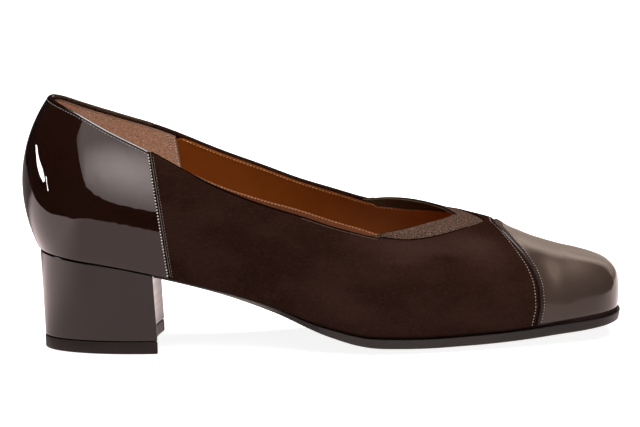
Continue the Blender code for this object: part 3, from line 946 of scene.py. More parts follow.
def dress(piece: Piece, finish: Finish, slot: str, *nodes: str) -> None:
    """Give a finished piece its material and its body, and hide the nodes that it stands for.

    Args:
        piece: The piece, in place.
        finish: Finish of its surface.
        slot: Material slot of the record; not used.
        nodes: Solids that the piece replaces.
    """
    piece.data.materials.clear()
    piece.data.materials.append(material_of(finish))
    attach(piece, BODY)
    if nodes:
        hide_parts(*nodes)
    LOG.info("%s: %d faces, %s", piece.name, len(piece.data.polygons), finish.name)


# Shapes that several pieces share
def edge_roll(distance: Array, radius: float, drop: float) -> Array:
    """Depth of a rounded edge at distances from it."""
    t = np.clip(1 - distance / radius, 0, 1)
    return drop * (1 - np.sqrt(np.clip(1 - t * t, 0, 1)))


def raised(folds: Sequence[Fold], values: Values) -> Array:
    """Sum of soft ridges and troughs, or of patches of painted light, at points with a station and a distance
    up.
    """
    height = np.zeros(len(values["up"]))
    for fold in folds:
        along = values["station"] - fold.x
        across = values["up"] - fold.up - fold.slope * along
        height += fold.height * np.exp(-((along / fold.along) ** 2) - (across / fold.across) ** 2)
    return height


def both_sides(lateral: Values, medial: Values, round_heel: bool = False) -> Values:
    """Columns of the two sides as one grid, joined round the toe, or round the heel."""
    turned = {key: value[::-1] for key, value in medial.items()}
    order = (turned, lateral) if round_heel else (lateral, turned)
    return {key: np.concatenate([part[key] for part in order]) for key in lateral}


def round_the_foot(heel: int, middle: int, toe: int) -> Array:
    """Starts of columns from heel to toe, by how many lie in each stretch."""
    return np.concatenate([quarter_turn(HEEL_BACK, HEEL_POLE, heel)[:-1],
                           np.linspace(HEEL_POLE, TOE_POLE, middle)[:-1],
                           quarter_turn(TOE_TIP, TOE_POLE, toe)[::-1]])


def shares_across(edges: Sequence[float], inner: float, count: int) -> Array:
    """Shares across the foot from -1 to 1: close together at the edges, and even inside."""
    outer = np.array(edges, float)
    return np.concatenate([-outer, np.linspace(-inner, inner, count), outer[::-1]])


def on_plan(plan: Array, height: Array) -> Array:
    """Points above plan points."""
    return np.concatenate([plan, height[..., None]], -1)


# The pieces
@dataclass
class Upper:
    """The lasted upper: suede quarters and vamp, patent counter and toe cap, turned over at the topline."""

    thick: float = 0.8
    thin: float = 0.12
    groove: float = 0.2
    rows: int = 64
    fine_steps: Tuple[float, ...] = (0.0, 0.15, 0.35, 0.6, 1.0)
    rim: float = 1.1
    plain_rim: float = 0.5
    plain_turn_less: float = 0.45
    throat_blend: Span = (-9.0, -1.0)
    quarter_blend: Span = (2.0, 14.0)
    counter_facing: float = 2.0
    quarter_facing: float = 0.4
    seam_roll: float = 0.6
    seam_drop: float = 0.85
    end_roll: float = 0.2
    foot_roll: float = 2.2
    foot_tuck: float = 1.3
    toe_tuck_less: float = 0.45
    heel_roll: float = 1.2
    heel_tuck: float = 0.75
    heel_blend: Span = (18.0, 0.0)
    toe_gap: float = 1.15
    toe_gap_span: Span = (CAP_SEAM - 6.0, TOE_POLE + 12.0)
    lip: float = 0.3
    lip_rise: Span = (0.1, 0.6)
    lip_fall: Span = (2.3, 1.5)
    # Widths of the darker bands: along the seams, and painted shade along the feather line, with less of it
    # at the heel.
    seam_border: float = 1.6
    foot_border: float = 3.5
    heel_border_less: float = 3.1
    heel_border_span: Span = (22.0, 6.0)
    far_edge_blend: Span = (0.0, 4.0)
    rand_inset: float = 1.5
    rand_toe_less: float = 1.1
    rand_toe_span: Span = (CAP_SEAM - 12.0, TOE_POLE + 8.0)
    rand_rise: Tuple[float, ...] = (-0.35, 0.2, 0.9, 1.7, 2.4)
    rand_thick: float = 0.6
    backing_half: float = 2.5
    backing_first_row: int = 4
    backing_depth: float = 0.12
    backing_drop: float = 0.38
    backing_drop_span: Span = (4.0, 7.0)
    backing_thick: float = 0.9
    # Patches of painted light: lighter where light falls on the vamp's top, the ball and the toe cap's ridge;
    # a negative height paints shade.
    painted_lighting_patches: Tuple[Fold, ...] = table_of(Fold, (
        (163.0, 39.0, 22.0, 7.0, 0.05, 0.85), (190.0, 37.0, 13.0, 9.0, -0.2, 1.0),
        (132.0, 12.0, 12.0, 8.0, -0.2, 0.45), (180.0, 9.0, 24.0, 8.0, 0.0, 0.22),
        (86.0, 40.0, 14.0, 6.0, -0.3, 0.15), (154.0, 31.5, 10.0, 1.4, 0.0, 0.45),
        (174.0, 33.0, 6.5, 1.7, -0.1, -0.6), (219.8, 23.0, 2.5, 6.5, 0.0, 1.45),
        (216.0, 44.0, 3.0, 7.0, 0.0, 0.5), (230.0, 26.0, 9.0, 7.0, 0.0, 1.1),
    ))
    folds: Tuple[Fold, ...] = table_of(Fold, (
        (163.0, 32.0, 19.0, 2.4, 0.02, 0.42), (163.0, 28.0, 20.0, 2.6, 0.02, -0.45),
        (183.0, 33.0, 7.0, 3.0, -0.5, -0.22), (128.0, 30.0, 22.0, 4.5, -0.16, -0.30),
        (96.0, 30.0, 20.0, 5.0, -0.22, 0.24), (178.0, 10.0, 16.0, 4.0, 0.03, 0.18),
        (217.0, 27.0, 1.8, 9.0, 0.0, -0.12), (219.5, 25.0, 1.8, 9.0, 0.0, 0.12),
        (218.0, 41.0, 3.2, 3.0, 0.0, -0.10),
    ))

    def stations(self, start: float, end: float, step: float) -> Array:
        """Starts of columns between two places, crowded at both ends."""
        fine = np.array(self.fine_steps)
        inner = np.linspace(start + fine[-1], end - fine[-1], int((end - start) / step))
        return np.concatenate([start + fine[:-1], inner, end - fine[-2::-1]])

    def turn_of(self, columns: Columns) -> Tuple[Array, Array, Array]:
        """Radius of each column's rim, how far it turns over it, and how far it runs down inside."""
        place = columns.paths[:, -1, 0]
        inside = np.where(columns.stations < COUNTER_SEAM, self.counter_facing, self.quarter_facing)
        if columns.side is Side.LATERAL:
            plain = eased(place, COUNTER_SEAM, self.quarter_blend)
        else:
            plain = eased(place, THROAT_BACK, self.throat_blend)
        open_ended = columns.open_ended.astype(float)
        radius = self.rim + (self.plain_rim - self.rim) * plain
        turn = math.pi * (1 - self.plain_turn_less * plain)
        return radius * open_ended, turn * open_ended, inside * (1 - plain) * open_ended

    def side_grid(self, stations: Array, side: Side) -> Values:
        """Points and values of the columns on one side, over the rim and down inside it."""
        columns = Columns(stations, side)
        radius, over, inside = self.turn_of(columns)
        top = columns.lengths - radius
        foot = self.toe_gap * smooth_ramp(stations, *self.toe_gap_span)[:, None]
        up = foot + (top[:, None] - foot) * crowded(self.rows)[None, :]
        wall = columns.at(up)
        ends = columns.at(np.stack([top - TANGENT_STEP, top], -1))
        tangent = unit(ends[:, 1] - ends[:, 0])
        normal = unit(np.cross(np.gradient(ends[:, 1], axis=0), tangent)) * -side.value
        turn = over[:, None] * np.linspace(0, 1, num=11)[None, 1:]
        rise, fall = np.sin(turn)[..., None], (1 - np.cos(turn))[..., None]
        over_rim = tangent[:, None] * rise - normal[:, None] * fall
        arc = ends[:, 1][:, None, :] + radius[:, None, None] * over_rim
        down = unit(arc[:, -1] - arc[:, -2])
        run = inside[:, None] * np.linspace(0, 1, num=6)[None, 1:]
        facing = arc[:, -1][:, None, :] + down[:, None, :] * run[..., None]
        grid = np.concatenate([wall, arc, facing], axis=1)
        extra = arc_lengths(grid[:, self.rows - 1:])[:, 1:]
        height = np.concatenate([up, top[:, None] + extra], axis=1) - foot
        to_end = np.where(columns.open_ended[:, None], height[:, -1:] - height, FAR)
        place = np.broadcast_to(columns.stations[:, None], height.shape)
        return {"grid": grid, "up": height, "to_end": to_end, "station": place,
                "lateral": np.full(height.shape, float(side is Side.LATERAL))}

    def panel(self, stations: Array, start_seam: Optional[float], end_seam: Optional[float]) -> Skin:
        """Skin of one panel across both sides of the shoe.

        Args:
            stations: Starts of its columns, from heel to toe.
            start_seam: Where a seam ends it towards the heel, if one does.
            end_seam: Where a seam ends it towards the toe, if one does.

        Returns:
            The skin, with its distances to edges and to the feather line.
        """
        lateral, medial = (self.side_grid(stations, side) for side in Side)
        values = both_sides(lateral, medial, round_heel=start_seam is None)
        grid = values.pop("grid")
        values["seam"] = np.full(grid.shape[:2], FAR)
        for place in (start_seam, end_seam):
            if place is not None:
                values["seam"] = np.minimum(values["seam"], np.abs(values["station"] - place))
        return Skin.from_grid(grid, values)

    def wall_piece(self, name: str, skin: Skin, lift: Array) -> Piece:
        """Thick wall of a panel with rolled edges, tucked in at the feather line.

        Args:
            name: Name of the piece.
            skin: Outer skin of the panel.
            lift: Height of its folds and lips at each point.

        Returns:
            The piece, with distances to its edges, which set painted shade, and its patches of painted light
            as attributes.
        """
        values = skin.values
        station, up = values["station"], values["up"]
        heel = eased(station, COUNTER_SEAM, self.heel_blend)
        tuck = self.foot_tuck * (1 - self.toe_tuck_less * smooth_ramp(station, CAP_SEAM, TOE_POLE))
        tuck += (self.heel_tuck - tuck) * heel
        foot = edge_roll(up / (self.foot_roll + (self.heel_roll - self.foot_roll) * heel), 1.0, 1.0) * tuck
        depth = edge_roll(values["seam"], self.seam_roll, self.thick * self.seam_drop) + foot - lift
        end = edge_roll(values["to_end"], self.end_roll, self.end_roll)
        top = skin.layer(depth + end)
        bottom = skin.layer(np.maximum(self.thick + foot, depth + self.thin) - end)
        # Edge distances darken the finishes: painted shade along the feather line and the open edges, and
        # darker along the seams; the far side's open edges past the counter seam are left out.
        foot_border = self.foot_border - self.heel_border_less * smooth_ramp(station, *self.heel_border_span)
        bare = FAR * (1 - values["lateral"]) * eased(station, COUNTER_SEAM, self.far_edge_blend)
        edge = np.minimum(values["to_end"] + bare, foot_border * up)
        # Painted light: lighter patches where light falls, and painted shade where a patch's height is
        # negative.
        skin.values = {"edge": np.minimum(self.seam_border * values["seam"], edge),
                       "bloom": raised(self.painted_lighting_patches, values)}
        return skin.shell(name, top, bottom)

    def feather_shade(self) -> Piece:
        """Strip of painted shade along the feather line, which shows at the toe between cap and sole."""
        stations = round_the_foot(heel=30, middle=120, toe=40)
        inset = self.rand_inset - self.rand_toe_less * smooth_ramp(stations, *self.rand_toe_span)
        edges = Sole.plan(stations, -inset, np.array([-1.0, 1.0]))
        plan = np.concatenate([edges[:, 0], edges[::-1, 1]])
        foot = LAST_FORM.value("feather", np.concatenate([stations, stations[::-1]]))
        rise = np.array(self.rand_rise)
        skin = Skin.from_grid(on_plan(np.repeat(plan[:, None], len(rise), axis=1), foot[:, None] + rise), {})
        return skin.shell("feather_rand", skin.points, skin.layer(self.rand_thick))

    def backing(self, name: str, seam: float) -> Piece:
        """Strip of leather under a seam, over the rim with it, which closes the groove."""
        stations = np.linspace(seam - self.backing_half, seam + self.backing_half, num=9)
        lateral, medial = (self.side_grid(stations, side) for side in Side)
        turned = {key: value[::-1] for key, value in medial.items()}
        kept = slice(self.backing_first_row, None)
        skins = [Skin.from_grid(part["grid"][:, kept], {"to_end": part["to_end"][:, kept]})
                 for part in (lateral, turned)]
        count = len(skins[0].points)
        faces = skins[0].faces + [tuple(i + count for i in face) for face in skins[1].faces]
        skin = Skin(np.concatenate([part.points for part in skins]),
                    np.concatenate([part.normals for part in skins]), faces, {})
        to_end = np.concatenate([part.values["to_end"] for part in skins])
        depth = self.backing_depth + self.backing_drop * smooth_ramp(to_end, *self.backing_drop_span)
        return skin.shell(name, skin.layer(depth), skin.layer(self.backing_thick))

    def counter(self) -> Piece:
        """Patent counter round the back of the heel."""
        seam = COUNTER_SEAM - self.groove
        stations = np.concatenate([quarter_turn(HEEL_BACK, HEEL_POLE, count=42)[:-1],
                                   self.stations(HEEL_POLE, seam, step=1.1)])
        skin = self.panel(stations, None, seam)
        return self.wall_piece("counter_panel", skin, np.zeros(len(skin.points)))

    def vamp(self) -> Piece:
        """Suede vamp and quarters, with their creases."""
        start, end = COUNTER_SEAM + self.groove, CAP_SEAM - self.groove
        skin = self.panel(self.stations(start, end, step=1.15), start, end)
        return self.wall_piece("vamp_and_quarters", skin, raised(self.folds, skin.values))

    def toe_cap(self) -> Piece:
        """Patent toe cap, with a raised lip along its seam."""
        seam = CAP_SEAM + self.groove
        stations = np.concatenate([self.stations(seam, TOE_POLE, step=0.9)[:-1],
                                   quarter_turn(TOE_TIP, TOE_POLE, count=46)[::-1]])
        skin = self.panel(stations, seam, None)
        away = skin.values["seam"]
        lip = self.lip * smooth_ramp(away, *self.lip_rise) * smooth_ramp(away, *self.lip_fall)
        return self.wall_piece("toe_cap_panel", skin, lip + raised(self.folds, skin.values))

    def build(self) -> None:
        """Make and dress the panels, the strip of painted shade along the feather line and the dark strips of
        painted shade under the seams.
        """
        dress(self.counter(), COUNTER_PATENT, "patent_counter", "counter")
        dress(self.vamp(), BROWN_SUEDE, "suede", "upper")
        dress(self.toe_cap(), TOE_PATENT, "patent_toe", "toe_cap")
        dress(self.feather_shade(), RAND_SHADE, "suede")
        # The strips under the seams are dressed dark: painted shade in the seam grooves.
        for name, seam in (("counter_seam_backing", COUNTER_SEAM), ("cap_seam_backing", CAP_SEAM)):
            dress(self.backing(name, seam), SEAM_SHADE, "suede")


@dataclass
class Inside:
    """What shows in the open shoe: tan lining, heel grip and sock."""

    wall: float = 2.25
    thick: float = 0.5
    foot: float = 3.2
    rows: int = 44
    near_depth: float = 1.5
    near_proud_span: Span = (0.0, 1.2)
    near_band_span: Span = (7.0, 3.2)
    painted_light_span: Span = (118.0, 172.0)
    grip_front: float = 71.0
    grip_drop: float = 1.1
    grip_gap: float = 0.04
    grip_thick: float = 0.62
    grip_round: float = 0.35
    grip_roll: float = 0.3
    sock_inset: float = 2.75
    sock_gap: float = 0.3
    sock_thick: float = 2.0
    sock_rim: Points = ((0.12, 0.22), (0.4, 0.3), (0.85, 0.3))
    near_rise: Tuple[SideRow, ...] = table_of(SideRow, (
        (58.0, -3.5, -3.5), (64.0, -3.2, -3.2), (67.0, -0.4, -1.0), (76.0, 1.0, -0.8), (84.0, 1.5, -0.8),
        (92.0, 2.0, -0.8), (104.0, 2.7, -0.8), (116.0, 3.1, -0.8), (130.0, 3.3, -0.8), (141.0, 3.1, -0.7),
        (148.0, 2.4, -0.5), (156.0, 0.3, -0.3),
    ))

    def ends(self, columns: Columns) -> Array:
        """How far up each column the lining reaches."""
        rise = curve(self.near_rise, columns.side.column, columns.paths[:, -1, 0])
        return columns.lengths + np.where(columns.open_ended, rise, 0.0)

    def side_grid(self, stations: Array, side: Side, rise: Optional[float]) -> Values:
        """Points, distances to the edge and depths of the lining's columns on one side."""
        columns = Columns(stations, side)
        end = self.ends(columns) if rise is None else columns.lengths + rise
        up = self.foot + (end - self.foot)[:, None] * crowded(self.rows)[None, :]
        to_end = np.where(columns.open_ended[:, None], end[:, None] - up, FAR)
        proud = smooth_ramp(np.clip(end - columns.lengths, 0, None), *self.near_proud_span)[:, None]
        depth = self.wall - (self.wall - self.near_depth) * proud * smooth_ramp(to_end, *self.near_band_span)
        return {"grid": columns.at(up), "to_end": to_end, "depth": depth,
                "far": np.full(up.shape, float(side is Side.MEDIAL)),
                "station": np.broadcast_to(columns.stations[:, None], up.shape)}

    def skin(self, stations: Array, rise: Optional[float] = None, round_heel: bool = False) -> Skin:
        """Skin of both sides of the lining.

        Args:
            stations: Starts of its columns, from heel to toe.
            rise: How far it stands above the upper's edge, or none for the lining's own edge.
            round_heel: Whether the sides are joined round the heel.

        Returns:
            The skin, with distances to its edge and depths below the outer surface.
        """
        lateral, medial = (self.side_grid(stations, side, rise) for side in Side)
        values = both_sides(lateral, medial, round_heel)
        return Skin.from_grid(values.pop("grid"), values)

    def lining(self) -> Piece:
        """Tan leather that covers the whole inside of the upper."""
        skin = self.skin(round_the_foot(heel=22, middle=130, toe=22))
        values, depth = skin.values, skin.values["depth"]
        roll = edge_roll(values["to_end"], self.thick / 2, self.thick / 2)
        # Painted light: the lining grows paler towards the toe, where the deep inside lies in shade.
        skin.values = {"edge": values["to_end"] + FAR * values["far"],
                       "bloom": smooth_ramp(values["station"], *self.painted_light_span)}
        return skin.shell("lining", skin.layer(depth + roll), skin.layer(depth + self.thick - roll))

    def heel_grip(self) -> Piece:
        """Soft suede round the inside of the heel."""
        stations = np.concatenate([quarter_turn(HEEL_BACK, HEEL_POLE, 26)[:-1],
                                   np.linspace(HEEL_POLE, self.grip_front, 40)])
        skin = self.skin(stations, -self.grip_drop, round_heel=True)
        border = np.minimum(skin.values["to_end"], self.grip_front - skin.values["station"])
        roll = edge_roll(border, self.grip_round, self.grip_roll)
        depth = self.wall + self.thick + self.grip_gap
        skin.values = {"edge": border}
        return skin.shell("heel_grip", skin.layer(depth + roll), skin.layer(depth + self.grip_thick - roll))

    def sock(self) -> Piece:
        """Leather sock over the footbed."""
        stations = round_the_foot(heel=26, middle=100, toe=26)
        plan = Sole.plan(stations, -self.sock_inset, shares_across((1.0, 0.985, 0.96), 0.92, 19))
        skin = Skin.from_grid(on_plan(plan, Sole().seat_height(plan) + self.sock_gap), {})
        top = skin.points + np.array([0, 0, self.sock_thick])
        return skin.shell("footbed_sock", top, skin.points, self.sock_rim)

    def build(self) -> None:
        """Make and dress the inside."""
        dress(self.lining(), TAN_LINING, "lining")
        dress(self.heel_grip(), GRIP_SUEDE, "lining")
        dress(self.sock(), SOCK_LEATHER, "lining", "insole")


@dataclass
class Gore:
    """V-shaped elastic band round the throat, tucked under the vamp, with a dark cloth back."""

    columns: int = 90
    tail: int = 12
    start: float = 142.5
    rim_margin: float = 3.0
    rows: int = 18
    tuck: float = 1.4
    tail_tuck: float = 0.15
    tuck_blend: Span = (-2.0, 8.0)
    low: float = 1.0
    top: float = 0.5
    rise_start_share: float = 0.8
    rise_reach: float = 1.8
    thick: float = 0.75
    roll: float = 0.3
    back_gap: float = 0.06
    back_thick: float = 0.3

    def edges(self, side: Side) -> Tuple[Array, Array]:
        """Plan points of the vamp's edge and of the band's free edge, from the rim to the middle."""
        share = np.linspace(0.0, 1.0, self.columns)
        edge_x = THROAT_BACK + (VAMP_APEX - THROAT_BACK) * share
        free_x = THROAT_BACK + (GORE_EDGE[-1].x - THROAT_BACK) * share
        edge = np.stack([edge_x, curve(VAMP_EDGE, side.column, edge_x)], -1)
        free = np.stack([free_x, curve(GORE_EDGE, side.column, free_x)], -1)
        places = np.linspace(self.start - self.rim_margin, THROAT_BACK + self.rim_margin, num=40)
        rim = Columns(places, side).paths[:, -1]
        tail_x = np.linspace(self.start, THROAT_BACK, self.tail, endpoint=False)
        tail = np.stack([tail_x, np.interp(tail_x, rim[:, 0], rim[:, 1])], -1)
        end = np.array([THROAT_BACK, np.interp(THROAT_BACK, rim[:, 0], rim[:, 1])])
        share = np.linspace(0.0, 1.0, self.tail, endpoint=False)[:, None]
        return (np.concatenate([tail + share * (edge[0] - end), edge]),
                np.concatenate([tail + share * (free[0] - end), free]))

    def side_grid(self, side: Side) -> Values:
        """Points of the band's columns on one side, from under the vamp to the free edge."""
        edge, free = self.edges(side)
        slope = np.gradient(edge, axis=0)
        out = unit(np.stack([-slope[:, 1], slope[:, 0]], -1)) * side.value
        out[-1] = (1.0, 0.0)
        full = eased(edge[:, 0], THROAT_BACK, self.tuck_blend)
        start = edge + out * (self.tuck * (self.tail_tuck + (1 - self.tail_tuck) * full))[:, None]
        plan = start[:, None] + (free - start)[:, None] * crowded(self.rows)[None, :, None]
        grid = LAST_FORM.on_plan(plan[..., 0], plan[..., 1], side)
        across = arc_lengths(grid)
        along = arc_lengths(grid[:, self.rows // 2])
        along = np.broadcast_to((along - along[-1])[:, None] * side.value, across.shape)
        return {"grid": grid, "across": across, "along": along, "edge": across[:, -1:] - across}

    def build(self) -> None:
        """Make and dress the band and its back."""
        values = both_sides(self.side_grid(Side.LATERAL), self.side_grid(Side.MEDIAL))
        skin = Skin.from_grid(values.pop("grid"), values)
        edge = skin.values["edge"]
        start, full = self.tuck * self.rise_start_share, self.tuck + self.rise_reach
        rise = smooth_ramp(skin.values["across"], start, full)
        depth = self.low - (self.low - self.top) * rise
        roll = edge_roll(edge, self.roll, self.roll)
        band = skin.shell("gore_band", skin.layer(depth + roll), skin.layer(depth + self.thick - roll))
        dress(band, GORE_KNIT, "elastic", "elastic_gore")
        skin.values = {"edge": edge}
        back = depth + self.thick + self.back_gap
        cloth = skin.shell("gore_back_cloth", skin.layer(back), skin.layer(back + self.back_thick))
        dress(cloth, GORE_BACK, "elastic")


@dataclass
class Sole:
    """Outsole: a thin moulded slab with an arch, a toe spring and a level tread under the ball."""

    bevel: float = 0.9
    flat: float = 0.5
    gap: float = 0.3
    breast_gap: float = 0.6
    breast_hollow: float = 3.0
    breast_blend_end: float = 75.0
    # Painted highlight along the sole's side at the waist, and painted shade further forward.
    highlight_x: float = 93.0
    highlight_reach: float = 12.0
    shade: float = 115.0
    shade_reach: float = 7.0
    side_profile: Points = ((0.03, 0.10), (0.10, 0.14), (0.30, 0.16), (0.62, 0.26), (0.86, 0.30), (0.96, 0.2))

    @staticmethod
    def plan(stations: Array, outward: Array, across: Array) -> Array:
        """Grid of plan points that fills the feather line, moved outwards.

        Args:
            stations: Places along the foot.
            outward: How far the outline lies outside the feather line, for all or for each place.
            across: Shares across the foot, from -1 on the outer side to 1 on the inner side.

        Returns:
            Plan points with a row for each place.
        """
        edges = []
        for side in Side:
            points = np.stack([stations, LAST_FORM.feather_y(stations, side)], -1)
            tangent = np.gradient(points, axis=0)
            tangent[stations == HEEL_BACK] = (0, side.value)
            tangent[stations == TOE_TIP] = (0, -side.value)
            normal = unit(side.value * np.stack([-tangent[:, 1], tangent[:, 0]], -1))
            edges.append(points + normal * np.broadcast_to(outward, len(stations))[:, None])
        share = (np.asarray(across)[None, :, None] + 1) / 2
        return edges[0][:, None] + (edges[1] - edges[0])[:, None] * share

    def underside(self, plan: Array) -> Array:
        """Height of the sole's underside: level in the middle, rising to its edge."""
        x, y = plan[..., 0], plan[..., 1]
        lateral, medial = LAST_FORM.value("lateral", x), LAST_FORM.value("medial", x)
        across = np.abs(2 * y - lateral - medial) / (medial - lateral)
        out = (across**TOE_ROUND + ramp(x, TOE_POLE, TOE_TIP) ** TOE_ROUND) ** (1 / TOE_ROUND)
        rise = np.clip((out - self.flat) / (1 - self.flat), 0, 1) ** 2
        edge = LAST_FORM.value("feather", x) - self.gap - curve(SOLE, "thickness", x)
        middle = curve(SOLE, "middle", x)
        return middle + (edge - middle) * rise

    def upside(self, plan: Array) -> Array:
        """Height of the sole's upper face."""
        return self.underside(plan) + curve(SOLE, "thickness", plan[..., 0])

    def seat_height(self, plan: Array) -> Array:
        """Height of what the footbed lies on: the heel's seat, then the sole."""
        x = plan[..., 0]
        return np.where(x < SOLE[0].x, LAST_FORM.value("feather", x) - self.gap, self.upside(plan))

    def hollowed(self, stations: Array, outward: Array, across: Array) -> Array:
        """Plan of the sole with its back edge curved along the hollow breast of the heel."""
        plan = self.plan(stations, outward, across)
        share = ramp(stations, self.breast_blend_end, stations[0])[:, None]
        depth = self.breast_hollow * (1 - across[None, :] ** 2) * share
        return np.stack([plan[..., 0] - depth, plan[..., 1]], -1)

    def near(self, x: Array, place: float, reach: float) -> Array:
        """Share from 1 at a place to 0 away from it."""
        return np.exp(-((x - place) / reach) ** 2)

    def build(self) -> None:
        """Make and dress the outsole."""
        stations = np.concatenate([np.linspace(BREAST_TOP + self.breast_gap, TOE_POLE, num=130)[:-1],
                                   quarter_turn(TOE_TIP, TOE_POLE, count=40)[::-1]])
        across = shares_across((1.0, 0.98, 0.95), 0.9, 25)
        overhang = curve(SOLE, "overhang", stations)
        top = self.hollowed(stations, overhang, across)
        foot = self.hollowed(stations, overhang - self.bevel, across)
        foot = on_plan(foot, self.underside(foot))
        feet = {axis: foot[..., i] for i, axis in enumerate("xyz")}
        skin = Skin.from_grid(on_plan(top, self.upside(top)), feet)
        bottom = np.stack([skin.values[axis] for axis in "xyz"], -1)
        x = skin.points[:, 0]
        # The first value paints the highlight; the edge value here is no distance but is small round the
        # shade's place, where it paints shade.
        skin.values = {"bloom": self.near(x, self.highlight_x, self.highlight_reach),
                       "edge": 1 - self.near(x, self.shade, self.shade_reach)}
        unit_piece = skin.shell("outsole_unit", skin.points, bottom, self.side_profile)
        dress(unit_piece, SOLE_RUBBER, "sole_unit", "outsole")


@dataclass
class Heel:
    """Covered block heel with a hollow front, and the lift that it walks on."""

    corner: float = 0.9
    top_inset: float = 0.6
    hollow: float = 3.0
    back_points: int = 44
    breast_points: int = 25
    seat_gap: float = 0.45
    lift_gap: float = 0.3
    top_round: Points = ((0.0, 0.16), (0.003, 0.06), (0.008, 0.0), (0.016, 0.0), (0.03, 0.0), (0.05, 0.0))
    foot_round: Points = ((0.972, 0.0), (0.982, 0.03), (0.99, 0.1), (1.0, 0.35))
    level_span: Span = (0.08, 0.95)
    ripple: float = 0.13
    ripple_start: Span = (0.02, 0.1)
    ripple_stop: Span = (0.97, 0.9)
    lift_round: Points = ((LIFT_THICK, 0.3), (LIFT_THICK - 0.08, 0.1), (LIFT_THICK - 0.3, 0.0), (2.5, 0.0),
                          (0.5, 0.0), (0.15, 0.12), (0.0, 0.4))
    seat_shade_round: Points = ((0.6, 1.4), (0.3, 0.9), (-0.3, 0.8), (-1.0, 1.5))

    def outline(self, back: Array, half_lateral: Array, half_medial: Array) -> Array:
        """Closed outline from the breast's outer corner round the back, then along the hollow breast.

        Args:
            back: Places along the heel, from its back to its breast.
            half_lateral: Outer edge at those places.
            half_medial: Inner edge at those places.

        Returns:
            Plan points of the outline, turning left seen from above.
        """
        outer = np.stack([back, half_lateral], -1)[::-1]
        inner = np.stack([back, half_medial], -1)[1:]
        start, end = inner[-1], outer[0]
        share = np.linspace(0, 1, self.breast_points)
        breast = start + (end - start) * share[:, None]
        breast[:, 0] -= self.hollow * (1 - (2 * share - 1) ** 2)
        loop = np.concatenate([outer, inner, breast[1:-1]])
        return self.rounded(loop, (0, len(outer) + len(inner) - 1))

    def rounded(self, loop: Array, corners: Sequence[int]) -> Array:
        """Outline with its two sharp corners rounded off."""
        out = []
        for i, point in enumerate(loop):
            if i not in corners:
                out.append(point)
                continue
            before = point + unit(loop[i - 1] - point) * self.corner
            after = point + unit(loop[(i + 1) % len(loop)] - point) * self.corner
            for t in np.linspace(0, 1, num=6):
                out.append((1 - t) ** 2 * before + 2 * t * (1 - t) * point + t * t * after)
        return np.array(out)

    def places(self) -> Array:
        """Places along the heel at its top, from its back to its breast."""
        return np.concatenate([quarter_turn(HEEL_BACK, HEEL_POLE, self.back_points)[:-1],
                               np.linspace(HEEL_POLE, BREAST_TOP, num=18)])

    def top_outline(self) -> Array:
        """Outline where the heel meets the upper."""
        edges = Sole.plan(self.places(), -self.top_inset, np.array([-1.0, 1.0]))
        return self.outline(edges[:, 0, 0], edges[:, 0, 1], edges[:, 1, 1])

    def foot_outline(self, outward: float) -> Array:
        """Outline where the heel stands: half an ellipse with a hollow front."""
        back = HEEL_FOOT_BACK - outward
        share = ramp(self.places(), HEEL_BACK, BREAST_TOP)
        half = (HEEL_FOOT_HALF + outward) * (1 - (1 - share) ** HEEL_FOOT_ROUND) ** (1 / HEEL_FOOT_ROUND)
        return self.outline(back + (BREAST_BOTTOM - back) * share, -half, half)

    def inward(self, loop: Array, distance: float) -> Array:
        """Outline moved inwards square to itself."""
        tangent = unit(np.roll(loop, -1, axis=0) - np.roll(loop, 1, axis=0))
        turn = np.stack([-tangent[:, 1], tangent[:, 0]], -1)
        area = np.sum(loop[:, 0] * np.roll(loop[:, 1], -1) - np.roll(loop[:, 0], -1) * loop[:, 1])
        return loop + turn * distance * np.sign(area)

    def tower(self, name: str, rings: List[Array]) -> Piece:
        """Closed body from rings of points, from the top down."""
        points = np.concatenate(rings)
        count = len(rings[0])
        last = len(points) - count
        faces = [(a + i, a + count + i, a + count + (i + 1) % count, a + (i + 1) % count)
                 for a in range(0, last, count) for i in range(count)]
        faces += [tuple(range(count)), tuple(reversed(range(last, len(points))))]
        piece = make_piece(name, points, faces, {"edge": np.full(len(points), FAR)})
        turn_outwards(piece)
        return piece

    def wave(self, height: Array) -> Array:
        """Uneven ripple of the breast's cover, from -1 to 1, by height."""
        length, drift, drift_length, swell_least, swell_length = 0.62, 1.3, 2.3, 0.35, 5.1
        swell = swell_least + (1 - swell_least) * np.sin(height / swell_length) ** 2
        return np.sin(height / length + drift * np.sin(height / drift_length)) * swell

    def block(self) -> Piece:
        """The covered block."""
        top, foot = self.top_outline(), self.foot_outline(0.0)
        base = LIFT_THICK + self.lift_gap
        seat = LAST_FORM.value("feather", top[:, 0]) - self.seat_gap
        half = self.breast_points / 2
        on_breast = np.sqrt(np.clip(1 - np.abs(np.arange(len(top)) - (len(top) - half)) / half, 0, 1))
        levels = [*self.top_round, *((share, 0.0) for share in np.linspace(*self.level_span, num=44)),
                  *self.foot_round]
        rings = []
        for share, inset in levels:
            plan = self.inward(top + (foot - top) * share, inset)
            height = seat + (base - seat) * share
            strength = self.ripple * ramp(share, *self.ripple_start) * ramp(share, *self.ripple_stop)
            plan[:, 0] += strength * self.wave(height) * on_breast
            rings.append(on_plan(plan, height))
        return self.tower("heel_block_cover", rings)

    def lift(self) -> Piece:
        """The walking piece."""
        loop = self.foot_outline(LIFT_PROUD)
        rings = [on_plan(self.inward(loop, inset), np.full(len(loop), height))
                 for height, inset in self.lift_round]
        return self.tower("heel_top_lift", rings)

    def seat_line(self) -> Piece:
        """Strip of painted shade between the heel's seat and the upper."""
        top = self.top_outline()
        seat = LAST_FORM.value("feather", top[:, 0])
        return self.tower("heel_seat_rand", [on_plan(self.inward(top, inset), seat + rise)
                                             for rise, inset in self.seat_shade_round])

